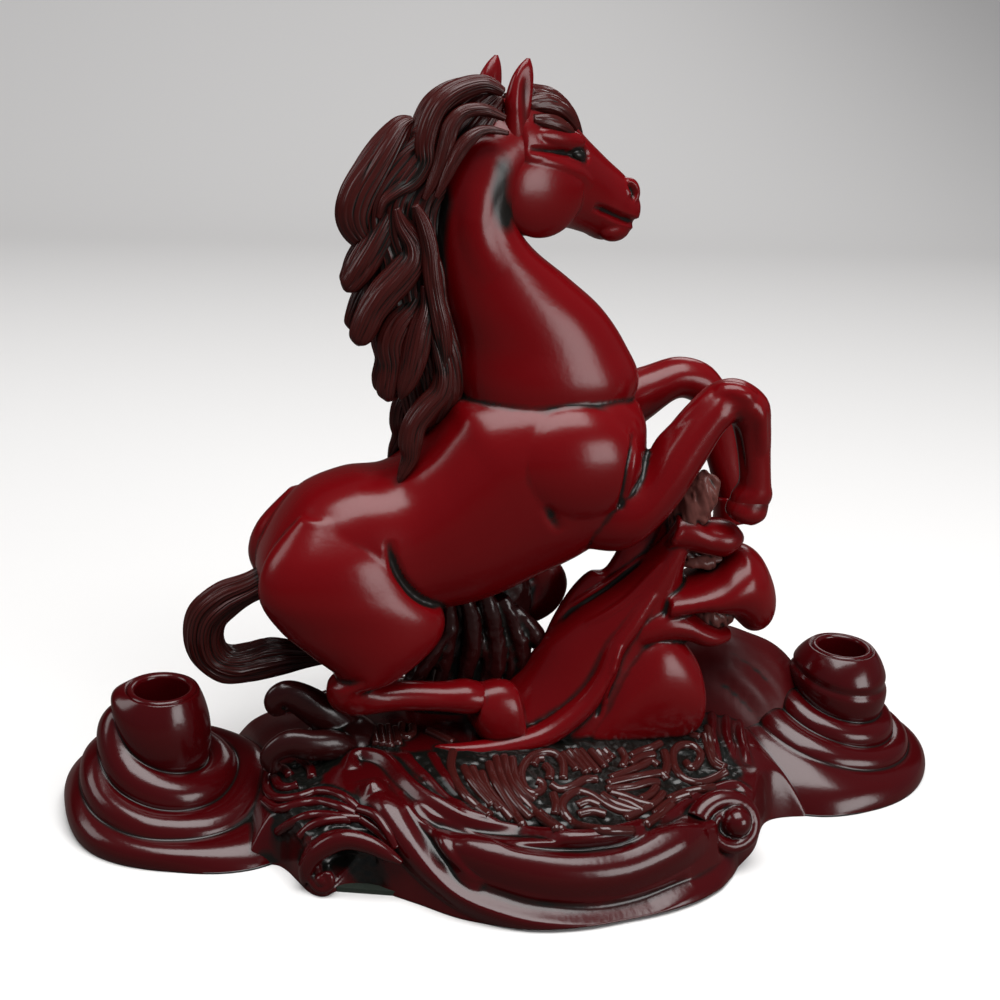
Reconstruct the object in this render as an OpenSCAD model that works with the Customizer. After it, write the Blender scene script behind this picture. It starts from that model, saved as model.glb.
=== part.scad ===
// Pen holder: a rearing horse on a carved wave base with a pen hole at each end.
// Millimetres, +Z up, +X from the left pen hole to the right one, front of the base at -Y.
// Origin on the table, midway between the two pen bores.

/* [Base] */
// depth of the base, front to back
base_depth = 87; // [70:1:110]
// thickness of the felt pad under the base
felt_t = 1; // [0.5:0.1:2]
// height of the plinth wall
plinth_t = 7; // [5:0.5:12]
// rim of the plinth that the felt pad leaves free
felt_inset = 3; // [1:0.5:8]
// height of the foam bank over the plinth
bank_h = 10; // [6:0.5:16]
// thickness of the low ridges carved on the base
ridge_t = 1.4; // [0.8:0.1:2.5]

/* [Pen holes] */
// distance between the two pen bores
pen_pitch = 150.5; // [120:0.5:180]
// bore that takes the pen
pen_bore_d = 10.6; // [8:0.1:14]
// depth of the bore
pen_bore_depth = 22; // [12:0.5:24]
// height of the mound over the plinth
mound_h = 20; // [16:0.5:30]
// width of the mound round its middle roll
mound_foot_d = 40; // [34:1:46]
// spigot of the mound in the plinth
spigot_d = 16; // [14:0.5:22]
// length of the spigot
spigot_len = 4; // [2:0.5:5]
// clearance of a glued spigot or dowel in its bore
fit_gap = 0.1; // [0.05:0.05:0.4]

/* [Horse] */
// height of the figure over the plinth
figure_h = 143.5; // [110:0.5:180]
// width of the barrel
trunk_w = 33; // [26:0.5:42]
// width of the neck at its base
neck_w = 25; // [18:0.5:30]
// width of the head at the cheeks
head_w = 17; // [12:0.5:22]
// turn of the head away from the front
head_turn = 20; // [0:1:30]
// width of a thigh and of a forearm
limb_w = 13; // [9:0.5:16]
// width of the mane
mane_w = 13; // [8:0.5:18]
// width of the tail
tail_w = 10; // [6:0.5:14]
// length of an ear
ear_len = 13; // [8:0.5:16]

/* [Wave] */
// thickness of the wave that carries the forelegs
wave_w = 19; // [14:0.5:26]
// dowel between the wave and the bank
dowel_d = 6; // [4:0.5:8]
// length of that dowel
dowel_len = 18; // [12:1:24]

/* [Colours] */
// dark red lacquer
red = [0.42, 0.03, 0.05]; // [0:0.01:1]
// washed recesses, mane and tail
dark = [0.24, 0.05, 0.05]; // [0:0.01:1]
// felt
felt_green = [0.08, 0.12, 0.09]; // [0:0.01:1]
// bare wood of the dowels
bare = [0.72, 0.55, 0.36]; // [0:0.01:1]

/* [Hidden] */
// pitch of the bores and depth of the base for which its outline is written
read_pitch = 150.5;
read_depth = 87;
// figure and carving stand a little left of the middle between the bores
figure_x = -1.25;
// plinth top and height of the figure for which its outlines are written
read_top = 8;
read_h = 143.5;
plinth_top = felt_t + plinth_t;
spread = pen_pitch/read_pitch;
deep = base_depth/read_depth;
tall = figure_h/read_h;
// middle planes of the legs
leg_y = trunk_w/2 - 5.5;
hind_y = trunk_w/2 - 6;
// middle planes of the wave and of the column under the belly
wave_y = -4;
pillar_y = 6.4;
// dowel of the wave: place along the base and floor over the plinth
wave_pin_x = 16;
pin_floor = 2;
// wall round the mouth of a pen bore
pen_lip = 1.6;
// bank height, mound height and mound width for which the carving is written
read_bank = 10;
read_mound = 20;
read_foot = 40;
// hinge point of the turned head
poll_x = -8;
poll_y = 2.5;
// ears, off the middle plane of the head
ear_y = 0.25*head_w;
near_ear_x = -10.2;
far_ear_x = -11.4;
// sides of a section and steps between stations
sides = 12;
steps = 2;
$fn = 48;

// value between b and c on a smooth curve through a, b, c, d
function smooth(a, b, c, d, t) =
    (2*b + (c - a)*t + (2*a - 5*b + 4*c - d)*t*t + (3*b - a - 3*c + d)*t*t*t)/2;

// stations with more stations between them
function refine(s, n) =
    let (m = len(s) - 1)
    concat([for (i = [0:m - 1], j = [0:n - 1])
        smooth(s[max(i - 1, 0)], s[i], s[i + 1], s[min(i + 2, m)], j/n)], [s[m]]);

function unit(v) = v/norm(v);

function power(v, e) = sign(v)*pow(abs(v), e);

// skin over rings of equal count, closed at both ends
module skin_over(rings) {
    n = len(rings[0]);
    m = len(rings);
    mid = function (r) [for (k = [0:2]) (r[0][k] + r[floor(n/2)][k])/2];
    pts = concat([for (r = rings, p = r) p], [mid(rings[0]), mid(rings[m - 1])]);
    wall = [for (i = [0:m - 2], k = [0:n - 1])
        let (a = i*n + k, b = i*n + (k + 1)%n)
        each [[a, a + n, b + n], [a, b + n, b]]];
    first = [for (k = [0:n - 1]) [m*n, k, (k + 1)%n]];
    last = [for (k = [0:n - 1]) [m*n + 1, (m - 1)*n + (k + 1)%n, (m - 1)*n + k]];
    polyhedron(pts, concat(wall, first, last), convexity = 6);
}

// body between two outlines: each station is [x, z of one edge, x, z of the other, half width, y]
module loft(st, wide = 1, n = sides, more = steps, full = 1) {
    rows = refine(st, more);
    mids = [for (s = rows) [(s[0] + s[2])/2, s[5], (s[1] + s[3])/2]];
    arms = [for (s = rows) [(s[0] - s[2])/2, 0, (s[1] - s[3])/2]];
    turn = cross(arms[0], [0, 1, 0])*(mids[1] - mids[0]) < 0 ? -1 : 1;
    skin_over([for (i = [0:len(rows) - 1])
        [for (k = [0:n - 1])
            mids[i] + arms[i]*power(cos(360*k/n), full)
                + [0, turn*rows[i][4]*wide*power(sin(360*k/n), full), 0]]]);
}

// cord along a path: each station is [x, y, z, half height, half width]
module cord(st, up = [0, 0, 1], n = 10, more = 3) {
    rows = refine(st, more);
    m = len(rows) - 1;
    spot = [for (s = rows) [s[0], s[1], s[2]]];
    skin_over([for (i = [0:m])
        let (t = unit(spot[min(i + 1, m)] - spot[max(i - 1, 0)]),
             side = unit(cross(t, up)),
             top = cross(side, t))
        [for (k = [0:n - 1])
            spot[i] + top*rows[i][3]*cos(360*k/n) + side*rows[i][4]*sin(360*k/n)]]);
}

// one closed skin of all that it holds
module solid() {
    resize([0, 0, 0]) children();
}

// places what is carved on the base
module on_base() {
    translate([figure_x, 0, plinth_top])
        scale([spread, deep, 1])
            translate([0, 0, -read_top])
                children();
}

// places what belongs to the figure and its wave
module on_plinth() {
    translate([figure_x, 0, plinth_top])
        scale([tall, 1, tall])
            translate([0, 0, -read_top])
                children();
}

// edges of the base between its two lobes, seen from above
front_edge = [[-60, -23.2], [-51, -22.6], [-50, -31.4], [-45, -36.8], [-32.4, -40.6], [-20.9, -47.2],
    [-8.9, -51.6], [6.6, -51.7], [24.6, -47.6], [41.1, -35.9], [49.8, -25], [60, -24.3]];
back_edge = [[-60, 21], [-52, 23.6], [-38, 28], [-15, 32], [10, 32.8], [30, 30.6], [44, 27], [52, 24],
    [60, 20.6]];

// crown of the bank: heights over the table at places along x, one row for each place along y
crown_x = [-58, -48, -39, -30, -8, 16, 38, 58];
crown_y = [-46, -38, -30, -14, 8, 20, 33];
crown_z = [[7, 8, 11, 13, 14.5, 14, 11, 8], [8, 9, 12.5, 13.5, 12, 12, 10.5, 8],
    [8.5, 11, 14.5, 16, 14.2, 13.5, 11, 9], [9.5, 13, 16, 17, 17.2, 16.5, 14.5, 12],
    [10, 13, 16, 17, 17.5, 17, 15.5, 12], [9, 11.5, 13.5, 14.5, 15, 15, 13.5, 10],
    [6, 8, 9, 10, 10, 10, 9, 7]];
// ends of the bank, under the mounds
bank_end = 60;

function crown(x, y) =
    lookup(y, [for (j = [0:len(crown_y) - 1])
        [crown_y[j], lookup(x, [for (k = [0:len(crown_x) - 1]) [crown_x[k], crown_z[j][k]]])]]);

// height that rises from an edge to a limit, fast at first
function rise(d, limit, run) = limit*(1 - exp(-max(d, 0)/run));

// height over the table, set to the height of the bank
function raised(z) = z < read_top ? z : read_top + (z - read_top)*bank_h/read_bank;

// surface of the bank: its crown, rolled down to the edges
function bank_top(x, y) =
    raised(min(rise(y - lookup(x, front_edge), 21, 5.4), rise(lookup(x, back_edge) - y, 21, 6.5),
        rise(bank_end - abs(x), 24, 11), crown(x, y)));

// stations along the bank and shares of its depth at which its surface is laid
bank_stations = [-60, -56, -51, -50, -46, -40, -33, -26, -18, -10, -2, 6, 14, 22, 30, 37, 43, 50, 56, 60];
bank_shares = [1, 0.98, 0.94, 0.87, 0.76, 0.6, 0.42, 0.28, 0.17, 0.09, 0.04, 0];

module bank_body() {
    on_base()
        skin_over([for (x = bank_stations)
            let (f = lookup(x, front_edge), b = lookup(x, back_edge))
            concat([for (s = bank_shares)
                let (y = f + (b - f)*s)
                [x, y, bank_top(x, y)]], [[x, f, -read_top], [x, b, -read_top]])]);
}

// creases between the rolled tiers of a mound: radius and height at every 45 degrees round the bore,
// from the mouth to the table
left_tiers = [
    [[6.9, 28], [8.8, 11.5], [15, 9.6], [22, 8.6], [30, 7]],
    [[6.9, 28], [9, 13], [14.5, 10.5], [20.5, 7.5], [28, 0]],
    [[6.9, 28], [9.2, 16], [13.5, 12], [18.5, 7], [25.2, 0]],
    [[6.9, 28], [9.4, 21], [12.8, 14], [17.5, 8.5], [23.4, 0]],
    [[6.9, 28], [9.5, 24], [12.3, 14.5], [16.2, 8.3], [19.2, 0]],
    [[6.9, 28], [9, 17.5], [12.5, 10.5], [17, 5.8], [20, 0]],
    [[6.9, 28], [8.4, 13.6], [13, 7.6], [18.7, 4.5], [22.6, 0]],
    [[6.9, 28], [8.6, 12], [14, 7], [21, 4.6], [31, 0]]];
right_tiers = [
    [[6.9, 28], [10.6, 13.6], [14, 9], [18.4, 5.6], [24, 0]],
    [[6.9, 28], [10.5, 14], [14, 9.8], [18.6, 6], [25.4, 0]],
    [[6.9, 28], [10.4, 15], [14, 11], [18.8, 7], [26, 0]],
    [[6.9, 28], [10.3, 17], [14.6, 13.6], [20.5, 11], [29.6, 6]],
    [[6.9, 28], [10.3, 18], [15.4, 15.6], [22, 13.6], [29.5, 8]],
    [[6.9, 28], [10.3, 15.6], [14.8, 12.4], [21, 9.6], [30.6, 0]],
    [[6.9, 28], [10.4, 13.8], [13.8, 9.4], [18.2, 6], [24.4, 0]],
    [[6.9, 28], [10.5, 13.2], [13.8, 8.6], [17.8, 5.2], [22.2, 0]]];
// swell of each tier between its creases
left_roll = [1.6, 1.7, 1.7, 1.9];
right_roll = [2.2, 1.4, 1.5, 1.7];
// steps down each tier, from its lower crease up
tier_steps = [[1, 0.75, 0.5, 0.25, 0], [1, 0.66, 0.33], [1, 0.66, 0.33], [1, 0.8, 0.5, 0.22]];
// places round the bore
mound_sides = 16;

// creases at one bearing
function creases(tiers, bearing) =
    let (i = floor(bearing/45))
    smooth(tiers[(i + 7)%8], tiers[i%8], tiers[(i + 1)%8], tiers[(i + 2)%8], bearing/45 - i);

// place on a tier, swollen out from the straight line between its creases
function on_tier(c, k, t, roll) =
    let (d = c[k + 1] - c[k])
    c[k] + d*t + unit([-d[1], d[0]])*roll*pow(max(sin(180*t), 0), 0.75);

// height on a mound, set to the height of the mound
function mounded(z) = z < read_top ? z : read_top + (z - read_top)*mound_h/read_mound;

// mound of rolled tiers whose creases run down like a snail shell
module mound_body(tiers, roll) {
    wide = mound_foot_d/read_foot;
    lip = pen_bore_d/2 + pen_lip;
    rows = [for (k = [3:-1:0], t = tier_steps[k]) [k, t]];
    ring = function (k, t, z0)
        [for (i = [0:mound_sides - 1])
            let (b = 360*i/mound_sides, q = on_tier(creases(tiers, b), k, t, roll[k]),
                 r = k == 0 && t == 0 ? lip : q[0]*wide)
            [r*cos(b), r*sin(b), z0 == undef ? mounded(q[1]) : z0]];
    translate([0, 0, plinth_top - read_top])
        skin_over(concat([ring(3, 1, -read_top)], [for (r = rows) ring(r[0], r[1])]));
}

module left_mound_body() {
    translate([-pen_pitch/2, 0, 0]) mound_body(left_tiers, left_roll);
}

module right_mound_body() {
    translate([pen_pitch/2, 0, 0]) mound_body(right_tiers, right_roll);
}

module mounds() {
    left_mound_body();
    right_mound_body();
}

// slab between two heights, wider than the base
module layer(low, high) {
    translate([-pen_pitch, -base_depth, low]) cube([2*pen_pitch, 2*base_depth, high - low]);
}

// hollow under the curled leaf
module leaf_hollow() {
    on_base()
        translate([-43.5, -37.5, 5.5])
            scale([1.25, 1, 1.05])
                sphere(r = 4.4, $fn = 10);
}

// felt, with the outline of the base and of its two lobes
module felt_pad() {
    color(felt_green)
        linear_extrude(felt_t)
            offset(delta = -felt_inset)
                base_outline();
}

module base_outline() {
    translate([figure_x, 0])
        polygon([for (q = concat(front_edge, [for (i = [len(back_edge) - 1:-1:0]) back_edge[i]]))
            [q[0]*spread, q[1]*deep]]);
    for (side = [[-1, left_tiers], [1, right_tiers]])
        translate([side[0]*pen_pitch/2, 0])
            polygon([for (i = [0:mound_sides - 1])
                let (b = 360*i/mound_sides, r = creases(side[1], b)[4][0]*mound_foot_d/read_foot)
                [r*cos(b), r*sin(b)]]);
}

// lower part of the base, with the seats for the spigots of the mounds
module base_plinth() {
    color(red)
        difference() {
            solid()
                difference() {
                    intersection() {
                        union() {
                            bank_body();
                            mounds();
                        }
                        layer(felt_t, plinth_top);
                    }
                    leaf_hollow();
                }
            for (s = [-1, 1])
                translate([s*pen_pitch/2, 0, plinth_top - spigot_len - fit_gap])
                    cylinder(d = spigot_d + 2*fit_gap, h = spigot_len + 1);
        }
}

// upper part of a mound on its spigot, with the blind bore for the pen
module pen_mound(s) {
    difference() {
        union() {
            solid()
                intersection() {
                    if (s < 0)
                        left_mound_body();
                    else
                        right_mound_body();
                    layer(plinth_top, plinth_top + 2*mound_h);
                }
            translate([s*pen_pitch/2, 0, plinth_top - spigot_len])
                cylinder(d = spigot_d, h = spigot_len + 1);
        }
        translate([s*pen_pitch/2, 0, plinth_top + mound_h - pen_bore_depth])
            cylinder(d = pen_bore_d, h = pen_bore_depth + 1);
    }
}

module left_pen_mound() {
    color(red) pen_mound(-1);
}

module right_pen_mound() {
    color(red) pen_mound(1);
}

// foam bank: all of the base over the plinth that lies between the mounds
module foam_bank() {
    color(dark)
        difference() {
            solid()
                difference() {
                    bank_body();
                    layer(-read_top, plinth_top);
                    mounds();
                    leaf_hollow();
                }
            wave_pin(dowel_d + 2*fit_gap);
        }
}

// bore across the seat of the wave on the bank
module wave_pin(d) {
    translate([figure_x + wave_pin_x, wave_y, plinth_top + pin_floor])
        cylinder(d = d, h = dowel_len);
}

module wave_dowel() {
    color(bare) wave_pin(dowel_d);
}

// broad scroll along the front of the base, and the tongue that runs down and along below it
module scroll_form() {
    on_base() {
        cord([[-30, -36.5, 11, 2.4, 2.4], [-26, -38.8, 11.2, 3.4, 3.2], [-20, -41.8, 11.4, 3.8, 3.4],
            [-12, -45.6, 11.4, 4, 3.4], [0, -47.8, 11.2, 4, 3.4], [12, -46, 11.4, 3.8, 3.2],
            [21, -41.2, 11, 3.4, 3], [28, -36.8, 10.4, 2.2, 2]], n = 8, more = 1);
        cord([[-37.4, -19.5, 15, 2, 3], [-35.4, -24, 14.8, 3, 4.2], [-33.6, -30, 13.8, 3.4, 4.6],
            [-31.6, -35.8, 11, 3.6, 4.4], [-27.6, -40.6, 7.6, 3.6, 3.8], [-22.6, -45, 5.4, 3.4, 3.4],
            [-15.6, -49, 4.6, 3.2, 3.2], [-5, -51.2, 4.4, 3, 3.2], [6.6, -51.2, 4.2, 2.9, 3.1],
            [22, -47.4, 3.8, 2.6, 2.8], [33, -40.6, 3, 1.6, 1.8]], n = 8, more = 1);
    }
}

module front_scroll() {
    color(red)
        solid()
            difference() {
                scroll_form();
                bank_body();
                volute_form();
            }
}

// volute at the right end of the scroll: middle, and its axes to the right, up and out
volute_at = [34, -37.2, 8.4];
volute_right = [0.998, 0.059, 0];
volute_up = [-0.031, 0.521, 0.853];
volute_out = cross(volute_right, volute_up);
// start and sweep of its turns, radius to the right and up at the start, share lost at the end, ball in
// the middle, steps along the turns
volute_start = 158;
volute_sweep = -440;
volute_wide = 6.7;
volute_high = 5.8;
volute_wind = 0.62;
volute_ball = 2.5;
turn_steps = 16;

function volute_spot(t) =
    let (a = volute_start + volute_sweep*t, w = 1 - volute_wind*t)
    volute_at + volute_wide*w*cos(a)*volute_right + volute_high*w*sin(a)*volute_up + 0.9*t*volute_out;

module volute_form() {
    on_base() {
        cord([for (i = [0:turn_steps])
            let (t = i/turn_steps, q = volute_spot(t), r = 1.9 - 1.2*t)
            [q[0], q[1], q[2], 1.3*r, r]], up = volute_out, n = 6, more = 1);
        translate(volute_at + 1.2*volute_right + 0.8*volute_up + 1.6*volute_out)
            sphere(r = volute_ball, $fn = 10);
        translate(volute_at - 2.8*volute_out)
            scale([1.25, 1, 1.05])
                sphere(r = 4.4, $fn = 12);
    }
}

module front_volute() {
    color(red)
        solid()
            difference() {
                volute_form();
                bank_body();
            }
}

// leaf that curls over its hollow at the front left corner
module leaf_form() {
    on_base() {
        cord([[-48.6, -31.4, 2, 1, 0.9], [-49, -32.4, 4.4, 1.6, 1.4], [-47.8, -33.2, 7.6, 1.9, 1.6],
            [-45.2, -33.8, 10.2, 2.1, 1.7], [-41.8, -34.6, 11.6, 2.1, 1.7], [-37.8, -36, 11, 1.9, 1.6],
            [-34.6, -37.6, 9.6, 1.4, 1.2]], n = 6, more = 1);
        cord([[-48.6, -32, 5, 0.9, 0.9], [-47.9, -33.4, 3, 1.1, 1.1], [-46.4, -34.6, 2.3, 1.2, 1.2],
            [-44.9, -35, 3, 1.1, 1.1], [-45, -34.6, 4.6, 1, 1], [-46.2, -33.8, 5, 0.8, 0.8]],
            up = [0, 1, 0], n = 6, more = 1);
    }
}

module leaf_hook() {
    color(red)
        solid()
            difference() {
                leaf_form();
                difference() {
                    bank_body();
                    leaf_hollow();
                }
                scroll_form();
                mounds();
            }
}

// one ridge that lies on the bank and dies out at both ends
module ridge(path, t = ridge_t) {
    m = len(path) - 1;
    cord([for (i = [0:m])
        let (r = t*(i == 0 || i == m ? 0.35 : 1))
        [path[i][0], path[i][1], bank_top(path[i][0], path[i][1]) + 0.2*t, r, r*0.8]], n = 6, more = 1);
}

// three fronds that sweep from the left end of the bank to the tongue
frond_paths = [[[-50, -12.5], [-48, -19], [-43.4, -21.8], [-40.4, -26], [-38, -31]],
    [[-52, -18], [-48.6, -23.4], [-44.6, -25.4], [-41.4, -28.6], [-38, -33.6]],
    [[-48.8, -27], [-46, -28.6], [-43, -30], [-40, -32], [-37, -35]]];

module frond_form(i) {
    on_base() ridge(frond_paths[i]);
}

module leaf_frond(i) {
    color(red)
        solid()
            difference() {
                frond_form(i);
                bank_body();
                leaf_form();
                scroll_form();
                mounds();
                for (k = [0:1:i - 1])
                    frond_form(k);
            }
}

module leaf_frond_1() leaf_frond(0);

module leaf_frond_2() leaf_frond(1);

module leaf_frond_3() leaf_frond(2);

// two small waves at the left of the bank, their tips hooked over
module small_curl_form() {
    on_base() {
        cord([[-34, -3, 14, 3, 4], [-39.9, -4.4, 19.8, 3.2, 4], [-43.4, -5, 23.2, 2.9, 3.8],
            [-47.1, -5, 26, 2.4, 3.4], [-50, -5, 27.2, 2, 3], [-51.8, -5, 26, 1.7, 2.6],
            [-51.6, -5, 24.2, 1.3, 2], [-50, -5, 23.6, 0.5, 0.9]], up = [0, 1, 0], n = 8, more = 1);
        cord([[-36, -8, 13, 2.4, 3.4], [-40.7, -10, 17.4, 2.6, 3.4], [-45.4, -11, 18.6, 2.4, 3.2],
            [-49.3, -11, 19.4, 2.1, 3], [-52, -11, 18.4, 1.8, 2.6], [-53.6, -11, 16.6, 1.5, 2.2],
            [-53, -11, 14.6, 1.2, 1.8], [-51.4, -11, 14.2, 0.5, 0.8]], up = [0, 1, 0], n = 8, more = 1);
        translate([-38, -4, 15])
            scale([1.15, 1, 0.85])
                sphere(r = 7, $fn = 10);
    }
}

module left_wave_curl() {
    color(red)
        solid()
            difference() {
                small_curl_form();
                bank_body();
                mounds();
                hind_forms();
                for (i = [0:2])
                    frond_form(i);
            }
}

// a sweep, a loop and a hook among the foam at the foot of the wave
ripple_paths = [[[-10, -19], [-10.6, -25.6], [-8.8, -31.6], [-4.4, -37.4]],
    [[14.5, -35.2], [8.2, -31.4], [2.4, -31.6], [0.4, -35], [3, -39.2], [9, -40.6], [16, -38]],
    [[34.4, -20.6], [33.2, -17.4], [29.8, -19.4], [28.6, -24], [31, -27], [36, -25.2]]];

module ripple_form(i) {
    on_base() ridge(ripple_paths[i]);
}

module foam_ripple(i) {
    color(red)
        solid()
            difference() {
                ripple_form(i);
                bank_body();
                scroll_form();
                volute_form();
                wave_form();
                swell_form();
                mounds();
            }
}

module foam_ripple_1() foam_ripple(0);

module foam_ripple_2() foam_ripple(1);

module foam_ripple_3() foam_ripple(2);

// smooth swell between the wave and the right pen hole
module swell_form() {
    on_base()
        loft([[30, 16, 30, 2, 5, 8], [37, 25, 37, -6, 9, 8], [44, 30, 44, -12, 12, 8],
            [51, 30.5, 51, -13, 14, 8], [58, 28, 58, -11, 14, 8], [64, 25, 64, -7, 13, 8.5],
            [69, 20.5, 69, -2, 11, 9], [74, 13, 74, 4, 8, 9]], full = 1.15, more = 1);
}

module right_swell() {
    color(red)
        solid()
            difference() {
                swell_form();
                layer(-3*read_top, plinth_top);
                bank_body();
                mounds();
                wave_form();
                pillar_form();
            }
}

// wave that rises from the bank to the forelegs, with the fold along its front, its full right face and
// the roll under the near hoof
module wave_form() {
    w = wave_w/2;
    on_plinth() {
        loft([[-19, 13.5, 30, 9, 0.95*w, wave_y], [-9, 20, 36, 15, w, wave_y],
            [-1, 28, 37, 23, 0.95*w, wave_y],
            [4, 36, 34, 31, 0.84*w, wave_y], [10, 42, 33, 38, 0.8*w, wave_y],
            [17, 47.5, 33, 46, 0.75*w, wave_y],
            [24, 54, 33, 54, 0.7*w, wave_y], [27.5, 60.5, 35, 60, 0.6*w, wave_y],
            [30, 66, 36.5, 65, 0.4*w, wave_y]], n = 10, more = 1);
        translate([0, wave_y - w, 0])
            cord([[24.8, 3.7, 47.5, 1.4, 1.6], [20.9, 2.9, 41.8, 1.9, 2], [17, 2.5, 36, 2.3, 2.2],
                [14.7, 1.7, 30, 2.7, 2.4], [10.5, 1.1, 24.1, 2.9, 2.6], [2.9, 0.3, 18.6, 2.8, 2.6],
                [-5.5, -0.3, 16.8, 2.3, 2.2], [-14.6, -0.5, 17.6, 1.8, 1.7], [-21.6, 0.3, 20.6, 1.3, 1.2],
                [-26, 1.5, 23.4, 0.5, 0.5]], up = [0, 1, 0], n = 6, more = 1);
        loft([[7.5, 17.5, 8, 11.5, 0.42*w, wave_y - 4], [14, 23, 15, 10, 0.63*w, wave_y - 4],
            [19.5, 33, 22, 10, 0.74*w, wave_y - 4], [25.5, 39, 28.5, 11, 0.78*w, wave_y - 4],
            [31.5, 37, 34.5, 12, 0.74*w, wave_y - 4], [36.5, 32, 38.5, 14.5, 0.6*w, wave_y - 4],
            [39, 26, 39.5, 20, 0.32*w, wave_y - 4]], n = 8, more = 1);
        loft([[29, 64.5, 27, 57, 4, wave_y - 3], [32, 64.5, 32.5, 56, 4.6, wave_y - 3],
            [35.5, 63, 36.5, 55, 4.8, wave_y - 3], [39.5, 62.5, 40, 54.5, 5, wave_y - 3],
            [42.5, 61.5, 43, 56, 3.8, wave_y - 3], [44.5, 59.5, 44.5, 57.5, 1.6, wave_y - 3]],
            n = 8, more = 1);
    }
}

module wave_support() {
    color(red)
        difference() {
            solid()
                difference() {
                    wave_form();
                    bank_body();
                    trunk_form();
                    fore_forms();
                    hind_forms();
                }
            wave_pin(dowel_d + 2*fit_gap);
        }
}

// full curl that breaks to the right
module curl_upper_form() {
    on_plinth()
        loft([[28.5, 48, 27.5, 41, 7.4, wave_y - 1.5], [33.5, 49, 35, 42.5, 8.2, wave_y - 1.8],
            [38, 51, 39.5, 42, 8.8, wave_y - 2], [41.5, 54, 43.5, 41, 9, wave_y - 2],
            [45.5, 56, 46, 39, 8.8, wave_y - 1.8], [49.5, 54, 49, 36.5, 7.8, wave_y - 1.5],
            [53, 48.5, 52, 36.5, 5.8, wave_y - 1], [55, 43, 54.5, 38.5, 2.8, wave_y]], n = 10, more = 1);
}

module wave_curl_upper() {
    color(red)
        solid()
            difference() {
                curl_upper_form();
                wave_form();
                fore_forms();
            }
}

module curl_lower_form() {
    on_plinth()
        loft([[23, 44, 22, 34, 4, wave_y - 4], [27.5, 44.5, 28.5, 36, 4.6, wave_y - 4],
            [32, 43.5, 33.5, 36, 4.6, wave_y - 4], [36.5, 41, 37.5, 34.5, 4.4, wave_y - 4],
            [40.5, 39, 40.5, 34.5, 3.8, wave_y - 4], [44, 38, 43.5, 35, 2, wave_y - 4]],
            n = 8, more = 1);
}

module wave_curl_lower() {
    color(red)
        solid()
            difference() {
                curl_lower_form();
                wave_form();
                curl_upper_form();
            }
}

// foam that the crest of the wave throws up against the foreleg
module foam_form_cap() {
    on_plinth()
        loft([[29, 61, 35, 58, 3, wave_y - 2], [30, 66.5, 37, 62.5, 4.4, wave_y - 3],
            [31.5, 71.5, 38.5, 67.5, 4, wave_y - 4], [35, 74.5, 38.5, 72, 2, wave_y - 5]], n = 8);
}

module foam_cap() {
    color(dark)
        solid()
            difference() {
                foam_form_cap();
                wave_form();
                fore_forms();
                trunk_form();
            }
}

// rough column under the belly
module pillar_form() {
    on_plinth()
        loft([[-24, 12, 4, 10, 8, pillar_y], [-22, 26, 4, 26, 7.5, pillar_y],
            [-19, 37, 4, 38, 6.5, pillar_y], [-16, 48, 2, 51.6, 5.5, pillar_y]], full = 0.9, n = 8, more = 1);
}

module rock_pillar() {
    color(dark)
        solid()
            difference() {
                pillar_form();
                bank_body();
                trunk_form();
                wave_form();
                hind_forms();
            }
}

// curl behind the wave, rolled up under the belly
module rear_curl_form() {
    on_plinth()
        cord([[-9, pillar_y, 38, 1.6, 3], [-3.4, pillar_y, 39.4, 2.4, 4], [1.2, pillar_y, 38.9, 2.6, 4.4],
            [5.6, pillar_y, 40.6, 2.6, 4.4], [7.2, pillar_y, 43.8, 2.4, 4.2], [6, pillar_y, 47, 2.1, 3.6],
            [3.6, pillar_y, 48.6, 1.8, 3], [0.8, pillar_y, 47.2, 1.2, 2.2]], up = [0, 1, 0], n = 8, more = 1);
}

module rear_wave_curl() {
    color(red)
        solid()
            difference() {
                rear_curl_form();
                pillar_form();
                trunk_form();
                wave_form();
            }
}

// barrel, croup and chest of the horse, with the muscle of both shoulders
module trunk_form() {
    w = trunk_w/2;
    on_plinth() {
        loft([[-55.5, 53, -54.5, 48, 0.25*w, 0], [-54.5, 57, -52, 43, 0.6*w, 0],
            [-50.9, 63.8, -46, 40, 0.82*w, 0], [-46, 69.3, -38, 40.5, 0.9*w, 0],
            [-38, 72.6, -30, 42, 0.9*w, 0], [-30, 73.6, -20, 43.8, 0.88*w, 0],
            [-24.5, 78, -9.6, 45.9, 0.92*w, 0], [-20, 84, 1, 50.5, 0.97*w, 0],
            [-17, 88, 11, 55.5, w, 0], [-9, 90.5, 18.5, 62, w, 0], [0, 91, 21.5, 73, 0.9*w, 0],
            [9, 91, 22, 81.5, 0.66*w, 0], [15, 90, 20.5, 86.5, 0.35*w, 0]], full = 0.85);
        for (s = [-1, 1])
            translate([4, s*(w - 6), 76])
                scale([1, 0.5, 0.85])
                    sphere(r = 15, $fn = 14);
    }
}

module horse_trunk() {
    color(red) solid() trunk_form();
}

// arched neck, from the shelf of the shoulders to the poll
module neck_form() {
    w = neck_w/2;
    on_plinth()
        loft([[-15, 82, 17, 82, 0.9*w, 0], [-17.5, 91, 20.3, 91, 0.96*w, 0],
            [-18.3, 98.7, 16.8, 98.5, 0.88*w, 0],
            [-21, 106.5, 11.3, 105.5, 0.8*w, 0], [-23.5, 116, 4.5, 111, 0.74*w, 0.5],
            [-24, 124, -3, 116.5, 0.7*w, 1], [-22.5, 133, -6.5, 121, 0.68*w, 1.5],
            [-18, 140, -6, 126, 0.64*w, 2], [-11, 143, -3, 131, 0.5*w, 2.5]], full = 0.95);
}

module horse_neck() {
    color(red)
        solid()
            difference() {
                neck_form();
                trunk_form();
            }
}

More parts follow.
